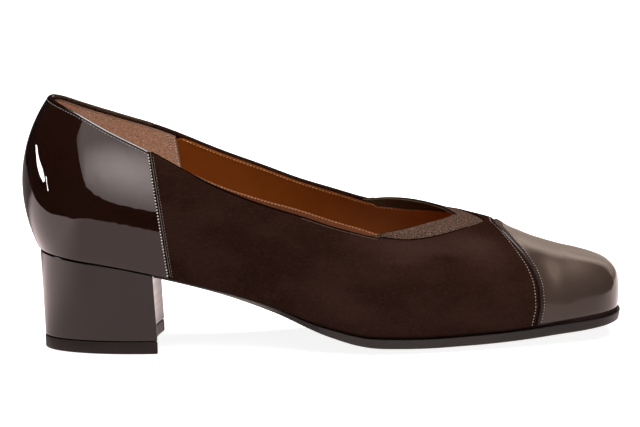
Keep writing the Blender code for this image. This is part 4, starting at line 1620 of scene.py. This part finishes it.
    def build(self) -> None:
        """Make and dress the heel."""
        dress(self.block(), HEEL_COVER, "heel_cover", "heel_block")
        dress(self.lift(), LIFT_RUBBER, "lift", "top_lift")
        dress(self.seat_line(), SEAM_SHADE, "heel_cover")


def turn_outwards(piece: Piece) -> None:
    """Point a closed mesh's faces outwards."""
    mesh = bmesh.new()
    mesh.from_mesh(piece.data)
    bmesh.ops.recalc_face_normals(mesh, faces=mesh.faces)
    mesh.to_mesh(piece.data)
    mesh.free()


@dataclass(frozen=True)
class Stitch:
    """Sizes of one kind of stitch, in millimetres, and its thread."""

    spacing: float
    length: float
    width: float
    height: float
    thread: ThreadFinish


Row = Tuple[Stitch, List[Line]]


class StitchTree:
    """Geometry nodes that lay stitches along lines of a mesh."""

    SIZES = ("Spacing", "Length", "Width", "Height")

    def __init__(self) -> None:
        """Build the tree with its named inputs."""
        tree = self.tree = bpy.data.node_groups.new("stitch_row", "GeometryNodeTree")
        face = tree.interface
        face.new_socket("Geometry", in_out="INPUT", socket_type="NodeSocketGeometry")
        self.sockets = {name: face.new_socket(name, in_out="INPUT", socket_type="NodeSocketFloat").identifier
                        for name in self.SIZES}
        thread = face.new_socket("Material", in_out="INPUT", socket_type="NodeSocketMaterial")
        self.sockets["Material"] = thread.identifier
        face.new_socket("Geometry", in_out="OUTPUT", socket_type="NodeSocketGeometry")
        given = tree.nodes.new("NodeGroupInput").outputs
        line = put(tree, "GeometryNodeMeshToCurve", Mesh=given["Geometry"])
        evenly = put(tree, "GeometryNodeResampleCurve", {"mode": "LENGTH"}, Curve=line.outputs[0],
                     Length=given["Spacing"])
        up = put(tree, "GeometryNodeInputNamedAttribute", {"data_type": "FLOAT_VECTOR"}, Name="face_up")
        along = tree.nodes.new("GeometryNodeInputTangent")
        turn = put(tree, "FunctionNodeAxesToRotation", {"primary_axis": "Z", "secondary_axis": "X"},
                   Primary_Axis=up.outputs[0], Secondary_Axis=along.outputs[0])
        size = put(tree, "ShaderNodeCombineXYZ", X=given["Length"], Y=given["Width"], Z=given["Height"])
        bead = put(tree, "GeometryNodeMeshUVSphere", Segments=6, Rings=5, Radius=0.5)
        beads = put(tree, "GeometryNodeInstanceOnPoints", Points=evenly.outputs[0],
                    Instance=bead.outputs[0], Rotation=turn.outputs[0], Scale=size.outputs[0])
        real = put(tree, "GeometryNodeRealizeInstances", Geometry=beads.outputs[0])
        smooth = put(tree, "GeometryNodeSetShadeSmooth", Geometry=real.outputs[0])
        dressed = put(tree, "GeometryNodeSetMaterial", Geometry=smooth.outputs[0], Material=given["Material"])
        tree.links.new(dressed.outputs[0], tree.nodes.new("NodeGroupOutput").inputs[0])

    def guide(self, name: str, lines: Sequence[Line]) -> Piece:
        """Object with lines as edges, and the surface's normals as an attribute."""
        points = np.concatenate([line for line, _ in lines])
        ups = np.concatenate([normals for _, normals in lines])
        edges, start = [], 0
        for line, _ in lines:
            edges += [(i, i + 1) for i in range(start, start + len(line) - 1)]
            start += len(line)
        mesh = bpy.data.meshes.new(name)
        mesh.from_pydata(world(points).tolist(), edges, [])
        face_up = mesh.attributes.new("face_up", "FLOAT_VECTOR", "POINT")
        face_up.data.foreach_set("vector", ups.astype(np.float32).ravel())
        return placed(name, mesh)

    def sew(self, name: str, lines: Sequence[Line], stitch: Stitch) -> Piece:
        """Lay stitches along lines and turn them into a plain mesh.

        Args:
            name: Name of the piece.
            lines: Points and surface normals of each line.
            stitch: Sizes and thread of the stitches.

        Returns:
            The stitches as one object.
        """
        guide = self.guide(name + "_lines", lines)
        sewing = guide.modifiers.new("stitches", "NODES")
        sewing.node_group = self.tree
        for key in self.SIZES:
            sewing[self.sockets[key]] = getattr(stitch, key.lower()) * MM
        sewing[self.sockets["Material"]] = material_of(stitch.thread)
        sewn = bpy.data.meshes.new_from_object(guide.evaluated_get(bpy.context.evaluated_depsgraph_get()))
        guide.modifiers.remove(sewing)
        bpy.data.objects.remove(guide)
        sewn.name = name
        return placed(name, sewn)


@dataclass
class Stitching:
    """All the rows of stitches on the upper and inside it, with fine lines of painted shade and painted
    highlight along its edges.
    """

    seam: Stitch = Stitch(1.25, 0.80, 0.70, 0.44, SEAM_THREAD)
    small: Stitch = Stitch(1.2, 0.72, 0.36, 0.30, SEAM_THREAD)
    # Dark beads paint shade in stitch holes, grooves and along edges; pale fine lines paint highlights on
    # folded edges.
    hole_shade_bead: Stitch = Stitch(1.25, 0.5, 0.80, 0.44, HOLE_SHADE)
    seam_highlight: Stitch = Stitch(0.5, 0.95, 0.30, 0.30, THREAD_AND_HIGHLIGHT)
    edge: Stitch = Stitch(1.35, 0.85, 0.40, 0.30, TOPLINE_THREAD)
    thin: Stitch = Stitch(1.2, 1.0, 0.30, 0.28, THREAD_AND_HIGHLIGHT)
    vamp: Stitch = Stitch(1.3, 0.75, 0.38, 0.3, VAMP_THREAD)
    band: Stitch = Stitch(1.4, 1.0, 0.38, 0.32, BAND_THREAD)
    rim: Stitch = Stitch(0.75, 1.5, 2.1, 2.3, RIM_THREAD)
    inner: Stitch = Stitch(1.5, 1.1, 0.46, 0.36, LINING_THREAD)
    grip: Stitch = Stitch(1.3, 1.0, 0.6, 0.4, GRIP_THREAD)
    shadow: Stitch = Stitch(0.45, 1.0, 0.85, 0.7, HOLE_SHADE)
    throat_shade_line: Stitch = Stitch(0.45, 1.0, 0.75, 0.4, HOLE_SHADE)
    groove_shade_line: Stitch = Stitch(0.45, 1.0, 0.46, 0.2, HOLE_SHADE)
    edge_highlight: Stitch = Stitch(0.45, 1.0, 0.34, 0.16, PAINTED_EDGE_HIGHLIGHT)
    reach: float = 0.2
    counter_row: float = COUNTER_SEAM - 0.8
    grip_rows: Span = (Inside.grip_front - 0.75, Inside.grip_front - 3.0)
    grip_depth: float = 3.41
    lining_depth: float = 2.75

    def below(self, line: Array, along: Array, up: Array, side: Side, depth: float, face: float) -> Line:
        """Line at a depth below the surface, with normals, from directions along and up the shoe."""
        normal = unit(np.cross(along, up)) * -side.value
        return line - normal * depth, normal * face

    def line_up(self, station: float, side: Side, start: float = 1.5, stop: float = 2.0, depth: float = 0.0,
                face: float = 1.0) -> Line:
        """Line up a column of the shoe, with normals.

        Args:
            station: Start of the column.
            side: Side of the shoe.
            start: Where the line begins above the feather line.
            stop: How far below the column's end it stops.
            depth: How far it lies below the outer surface.
            face: 1 on the outside, -1 on the inside.

        Returns:
            Points and normals of the line.
        """
        columns = Columns(station + np.array([-1.0, 0.0, 1.0]) * self.reach, side)
        stop = stop if columns.open_ended[1] else 0.0
        share = np.linspace(0, 1, num=80)
        grid = columns.at(start + (columns.lengths - stop - start)[:, None] * share[None, :])
        return self.below(grid[1], grid[2] - grid[0], np.gradient(grid[1], axis=0), side, depth, face)

    def lines_up(self, station: float, **places: float) -> List[Line]:
        """Lines up the columns of both sides that start at one station."""
        return [self.line_up(station, side, **places) for side in Side]

    def line_level(self, columns: Columns, up: Array, depth: float, face: float) -> Line:
        """Line across columns at distances up them, with normals."""
        grid = np.swapaxes(columns.at(up[:, None] + np.array([-1.0, 0.0, 1.0]) * self.reach), 0, 1)
        along, across = np.gradient(grid[1], axis=0), grid[2] - grid[0]
        return self.below(grid[1], along, across, columns.side, depth, face)

    def line_along(self, start: float, end: float, side: Side, drop: float, depth: float = 0.0,
                   face: float = 1.0) -> Line:
        """Line along the shoe at a distance below the columns' ends, with normals."""
        columns = Columns(np.linspace(start, end, num=120), side)
        return self.line_level(columns, columns.lengths - drop, depth, face)

    def near_lining_line(self) -> Line:
        """Line just below the top of the lining where it stands above the near edge."""
        inside = Inside()
        columns = Columns(np.linspace(81.0, 150.0, num=90), Side.LATERAL)
        drop = 0.55
        return self.line_level(columns, inside.ends(columns) - drop, depth=inside.near_depth, face=1.0)

    def outer_rows(self) -> Dict[str, Row]:
        """Rows on the outside: both seams, with painted shade of their stitch holes and a painted highlight
        line, and the counter's topline.
        """
        back, front = HEEL_BACK + 0.01, COUNTER_SEAM - 2.5
        return {
            "counter_seam_stitches": (self.seam, self.lines_up(self.counter_row)),
            "counter_seam_holes": (self.hole_shade_bead, self.lines_up(self.counter_row, start=2.125)),
            # A fine pale line of beads: painted highlight on the folded suede edge.
            "counter_seam_cord": (self.seam_highlight, self.lines_up(COUNTER_SEAM + 0.35, stop=1.0, depth=0.15)),
            "quarter_seam_stitches": (self.thin, self.lines_up(COUNTER_SEAM + 1.15)),
            "vamp_seam_stitches": (self.vamp, self.lines_up(CAP_SEAM - 1.9)),
            "cap_seam_stitches": (self.small, self.lines_up(CAP_SEAM + 1.8, start=2.4, depth=-0.1)),
            "counter_topline_stitches": (self.edge, [
                self.line_along(back, front, side, drop=1.95) for side in Side]),
        }

    def inner_rows(self) -> Dict[str, Row]:
        """Rows on the inside: lining and heel grip."""
        lining = {"depth": self.lining_depth, "face": -1.0}
        grip = {"depth": self.grip_depth, "face": -1.0}
        grip_lines = [self.line_up(row, Side.MEDIAL, start=6.0, stop=2.2, **grip) for row in self.grip_rows]
        grip_lines.append(self.line_up(27.8, Side.MEDIAL, start=24.0, stop=2.6, **grip))
        return {
            "lining_stitches": (self.inner, [
                self.line_along(74.0, 146.0, Side.MEDIAL, drop=1.75, **lining),
                self.line_along(148.0, 176.0, Side.MEDIAL, drop=1.0, **lining)]),
            "near_lining_stitches": (self.band, [self.near_lining_line()]),
            "grip_stitches": (self.grip, grip_lines),
        }

    def edge_rows(self) -> Dict[str, Row]:
        """Fine lines along the edges: the far rim's beads, painted shade in a groove, in stitch holes and
        along edges, a painted highlight on the near edge, and the throat's stitches.
        """
        near, far, heel = Side.LATERAL, Side.MEDIAL, HEEL_BACK + 0.5
        return {
            "far_rim_stitches": (self.rim, [
                self.line_along(heel, COUNTER_SEAM - 0.6, far, drop=0.75, depth=1.3, face=-1.0)]),
            "near_rim_groove": (self.groove_shade_line, [
                self.line_along(heel, COUNTER_SEAM - 1.0, near, drop=1.15, depth=0.02)]),
            "grip_holes": (self.hole_shade_bead, [
                self.line_up(self.grip_rows[1], far, 6.65, stop=2.6, depth=self.grip_depth, face=-1.0)]),
            "near_edge_shadow": (self.shadow, [
                self.line_along(COUNTER_SEAM + 1.0, 150.0, near, drop=-0.15, depth=1.05)]),
            # Painted highlight where the near suede edge rolls over.
            "near_edge_light": (self.edge_highlight, [self.line_along(117.0, 147.0, near, drop=0.7)]),
            "throat_edge_shadow": (self.throat_shade_line, [
                self.line_along(150.0, 191.5, near, drop=0.0, depth=0.3)]),
            "throat_stitches": (self.small, [self.line_along(156.0, 190.0, far, drop=1.4)]),
        }

    def build(self) -> None:
        """Sew and dress every row."""
        tree = StitchTree()
        for rows in (self.outer_rows(), self.inner_rows(), self.edge_rows()):
            for name, (stitch, lines) in rows.items():
                dress(tree.sew(name, lines, stitch), stitch.thread, stitch.thread.slot)


# The studio
@dataclass
class Studio:
    """Pale floor, soft lights and the camera; places are in metres of the frame, but for the camera's."""

    look: Triple = (124.0, 0.0, 53.08)
    elevation_deg: float = 9.2
    roll_deg: float = -1.2
    distance: float = 1000.0
    lens: float = 135.56
    sensor: float = 36.0
    room: float = 0.012
    floor_bounce: float = 0.3
    floor_mirror_glow: float = 2.4
    floor_tint: Colour = (1.0, 0.81, 0.79)
    box_y: float = -0.14
    box_glow: float = 6.0
    box_tint: Colour = (1.0, 0.87, 0.85)
    back_glow: float = 1.5
    back_tint: Colour = (1.0, 0.80, 0.68)
    top_glow: float = 3.0
    rim_glow: float = 15.0
    streak_x: float = -0.17
    streak_glow: float = 32.0
    floor_edge: Points = (
        (-0.084, -0.256), (0.08, -0.256), (0.12, -0.12), (0.149, -0.105), (0.163, -0.123), (0.188, -0.167),
        (0.203, -0.208), (0.213, -0.19), (0.222, -0.158), (0.239, -0.077), (0.243, -0.023), (0.25, 0.03),
        (0.6, 0.3), (1.2, 0.6), (1.2, 1.4), (-1.6, 1.4), (-1.3, 0.9), (-0.873, 0.453), (-0.677, 0.234),
        (-0.494, 0.096), (-0.395, 0.011), (-0.326, -0.057), (-0.282, -0.105), (-0.24, -0.151),
        (-0.163, -0.203), (-0.102, -0.24))
    box_edge: Points = (
        (-0.03, 0.245), (-0.078, 0.245), (-0.0906, 0.2206), (-0.098, 0.2095), (-0.1131, 0.1858),
        (-0.1205, 0.1705), (-0.1215, 0.158), (-0.1165, 0.1395), (-0.1101, 0.1236), (-0.1055, 0.111),
        (-0.102, 0.0992), (-0.0979, 0.0876), (-0.0928, 0.0785), (-0.09, 0.071), (-0.0885, 0.0651),
        (-0.0865, 0.06), (-0.0837, 0.0566), (-0.0806, 0.0543), (-0.076, 0.0533), (-0.0715, 0.0527),
        (-0.06, 0.0522), (-0.03, 0.0522))
    streak_edge: Points = (
        (0.0045, 0.098), (-0.0093, 0.0914), (-0.02, 0.0822), (-0.0295, 0.0756), (-0.0394, 0.0712),
        (-0.0447, 0.0731), (-0.0426, 0.0765), (-0.0364, 0.0824), (-0.0247, 0.0887), (-0.0015, 0.0985))
    small_streak_edge: Points = (
        (-0.0462, 0.0776), (-0.0499, 0.0711), (-0.0525, 0.0634), (-0.0553, 0.0636), (-0.0515, 0.0711),
        (-0.0493, 0.0774))

    def camera(self) -> None:
        """Camera at the photograph's angle."""
        rise, roll = math.radians(self.elevation_deg), math.radians(self.roll_deg)
        back = Vector((0.0, -math.cos(rise), math.sin(rise)))
        right = Vector((1.0, 0.0, 0.0))
        up = back.cross(right)
        turned_right = right * math.cos(roll) + up * math.sin(roll)
        turned_up = up * math.cos(roll) - right * math.sin(roll)
        place = Vector(world(np.array(self.look))) + back * self.distance * MM
        data = bpy.data.cameras.new("camera")
        data.sensor_width, data.lens = self.sensor, self.lens
        camera = placed("camera", data)
        turn = Matrix((turned_right, turned_up, back)).transposed().to_4x4()
        camera.matrix_world = Matrix.Translation(place) @ turn
        bpy.context.scene.camera = camera

    def plane(self, name: str, corners: Sequence[Triple], colour: Colour, glow: float) -> Piece:
        """Flat card or floor from its corners."""
        mesh = bpy.data.meshes.new(name)
        mesh.from_pydata([tuple(corner) for corner in corners], [], [tuple(range(len(corners)))])
        card = placed(name, mesh)
        material, tree, shader = shader_of(name, Gloss(roughness=0.9, specular=0.0))
        fill(tree, shader.inputs["Base Color"], colour)
        fill(tree, shader.inputs["Emission Color"], WHITE)
        fill(tree, shader.inputs["Emission Strength"], glow)
        mesh.materials.append(material)
        return card

    def mirrored(self, name: str, corners: Sequence[Triple], glow: float) -> Piece:
        """Glowing card that is seen in gloss alone."""
        card = self.plane(name, corners, BLACK, glow)
        card.visible_camera = card.visible_diffuse = card.visible_shadow = False
        card.visible_transmission = card.visible_volume_scatter = False
        return card

    def level_card(self, x_span: Span, y_span: Span, z: float) -> List[Triple]:
        """Corners of a level card."""
        (left, right), (front, back) = x_span, y_span
        return [(left, front, z), (right, front, z), (right, back, z), (left, back, z)]

    def shade_card(self, card: Piece, tone: Callable[[Tree, Socket], Socket], tint: Colour = WHITE) -> None:
        """Let a card's glow change across it by a function of its place, from nothing to a tint."""
        tree = card.data.materials[0].node_tree
        place = tree.nodes.new("ShaderNodeTexCoord").outputs["Object"]
        fill(tree, tree.nodes["Principled BSDF"].inputs["Emission Color"],
             mixed(tree, tone(tree, place), BLACK, tint))

    def floor_tone(self, tree: Tree, place: Socket) -> Socket:
        """Glow of the floor: full for the camera, more so away from the shoe, and weak as a light."""
        reach = put(tree, "ShaderNodeVectorMath", {"operation": "LENGTH"}, Vector=place).outputs["Value"]
        seen = tree.nodes.new("ShaderNodeLightPath").outputs["Is Camera Ray"]
        share = faded(tree, seen, 0.0, 1.0, self.floor_bounce, 1.0)
        return maths(tree, "MULTIPLY", share, faded(tree, reach, low=0.2, high=1.3, start=0.87))

    def patch_tone(self, tree: Tree, place: Socket) -> Socket:
        """Glow of the mirrored floor: one course beside the heel and another beside the toe."""
        split = put(tree, "ShaderNodeSeparateXYZ", Vector=place)
        x, y = split.outputs["X"], split.outputs["Y"]
        side = faded(tree, x, low=-0.15, high=-0.09)
        behind = maths(tree, "MULTIPLY", side, faded(tree, y, low=0.03, high=0.08, start=1.0, end=1.5))
        fall = maths(tree, "MAXIMUM", faded(tree, y, low=0.09, high=0.20, start=1.0, end=0.12), behind)
        heel = maths(tree, "MULTIPLY", faded(tree, x, low=-0.12, high=-0.19, start=0.54, end=0.92), fall)
        toe_share = faded(tree, x, low=0.06, high=0.10)
        kept = maths(tree, "MULTIPLY", heel, maths(tree, "SUBTRACT", 1.0, toe_share))
        toe = maths(tree, "MULTIPLY", faded(tree, y, low=-0.06, high=0.04, start=0.28, end=0.9), toe_share)
        return maths(tree, "ADD", kept, toe)

    def box_tone(self, tree: Tree, place: Socket) -> Socket:
        """Glow of the front light: a hot spot that falls off, weaker at its left edge."""
        split = put(tree, "ShaderNodeSeparateXYZ", Vector=place)
        shares = [maths(tree, "DIVIDE", maths(tree, "SUBTRACT", split.outputs[axis], centre), reach)
                  for axis, centre, reach in (("X", -0.0705, 0.016), ("Z", 0.105, 0.03))]
        flat = put(tree, "ShaderNodeCombineXYZ", X=shares[0], Y=shares[1]).outputs[0]
        away = put(tree, "ShaderNodeVectorMath", {"operation": "LENGTH"}, Vector=flat).outputs["Value"]
        left = faded(tree, split.outputs["X"], low=-0.125, high=-0.095, start=0.6)
        return maths(tree, "MULTIPLY", faded(tree, away, low=0.0, high=1.9, start=1.0, end=0.33), left)

    def back_tone(self, tree: Tree, place: Socket) -> Socket:
        """Glow of the room behind: a haze that is strongest at mid height."""
        height = put(tree, "ShaderNodeSeparateXYZ", Vector=place).outputs["Z"]
        rising = faded(tree, height, low=0.2, high=0.8, start=0.37)
        falling = faded(tree, height, low=0.45, high=1.7, start=1.0, end=0.0)
        return maths(tree, "MULTIPLY", rising, falling)

    def floor(self) -> None:
        """Pale floor, and the patch of it that glossy leather mirrors."""
        far, below = 6.0, -0.0003
        corners = self.level_card((-far, far), (-far, far), below)
        floor = self.plane("floor", corners, colour=(0.8, 0.8, 0.8), glow=1.0)
        floor.visible_glossy = False
        self.shade_card(floor, self.floor_tone)
        edge = [(x, y, 0.0) for x, y in self.floor_edge]
        patch = self.mirrored("floor_mirrored", edge, self.floor_mirror_glow)
        self.shade_card(patch, self.patch_tone, self.floor_tint)

    def mirrored_cards(self) -> None:
        """What gloss alone sees: front light, room behind, top light, rim light and a side light."""
        edge = [(x, self.box_y, z) for x, z in self.box_edge]
        front = self.mirrored("front_box_mirrored", edge, self.box_glow)
        self.shade_card(front, self.box_tone, self.box_tint)
        right, y, high = 2.5, 1.3, 1.7
        corners = [(0.0, y, 0.0), (right, y, 0.0), (right, y, high), (0.0, y, high)]
        back = self.mirrored("backdrop_mirrored", corners, self.back_glow)
        self.shade_card(back, self.back_tone, self.back_tint)
        top = self.level_card(x_span=(-0.9, -0.06), y_span=(-0.75, -0.05), z=1.4)
        self.mirrored("top_box_mirrored", top, self.top_glow)
        rim = self.level_card(x_span=(-0.07, 0.07), y_span=(-0.11, 0.10), z=0.30)
        self.mirrored("rim_box_mirrored", rim, self.rim_glow)
        for name, edge in (("side_streak", self.streak_edge), ("side_streak_small", self.small_streak_edge)):
            self.mirrored(name, [(self.streak_x, y, z) for y, z in edge], self.streak_glow)

    def light(self, name: str, place: Triple, aim: Triple, size: float, watts: float) -> None:
        """Soft square light."""
        data = bpy.data.lights.new(name, "AREA")
        data.shape, data.size, data.size_y, data.energy = "RECTANGLE", size, size, watts
        lamp = placed(name, data)
        away = Vector(place) - Vector(aim)
        lamp.matrix_world = Matrix.Translation(place) @ away.to_track_quat("Z", "Y").to_matrix().to_4x4()
        lamp.visible_camera = lamp.visible_glossy = False

    def sky(self) -> None:
        """White background for the camera and a dim room for everything else."""
        room = bpy.data.worlds.new("room")
        room.use_nodes = True
        tree = room.node_tree
        tree.nodes.clear()
        seen = tree.nodes.new("ShaderNodeLightPath").outputs["Is Camera Ray"]
        dim, white = (put(tree, "ShaderNodeBackground", Color=WHITE, Strength=strength).outputs[0]
                      for strength in (self.room, 1.0))
        mix = tree.nodes.new("ShaderNodeMixShader")
        for socket, value in zip(mix.inputs, (seen, dim, white)):
            fill(tree, socket, value)
        put(tree, "ShaderNodeOutputWorld", Surface=mix.outputs[0])
        bpy.context.scene.world = room

    def build(self) -> None:
        """Set up the whole studio."""
        bpy.context.scene.view_settings.view_transform = "Standard"
        self.camera()
        self.floor()
        self.sky()
        self.mirrored_cards()
        self.light("front_box", place=(0.54, -1.35, 0.70), aim=(0.54, 0.0, 0.70), size=1.5, watts=5.2)
        self.light("top_box", place=(0.05, -0.25, 1.35), aim=(0.0, 0.0, 0.0), size=1.4, watts=38.0)


def main() -> None:
    """Build the shoe and its studio."""
    logging.basicConfig(level=logging.INFO, format="%(name)s %(message)s")
    for assembly in (Studio(), Upper(), Inside(), Gore(), Sole(), Heel(), Stitching()):
        assembly.build()


if __name__ == "__main__":
    main()
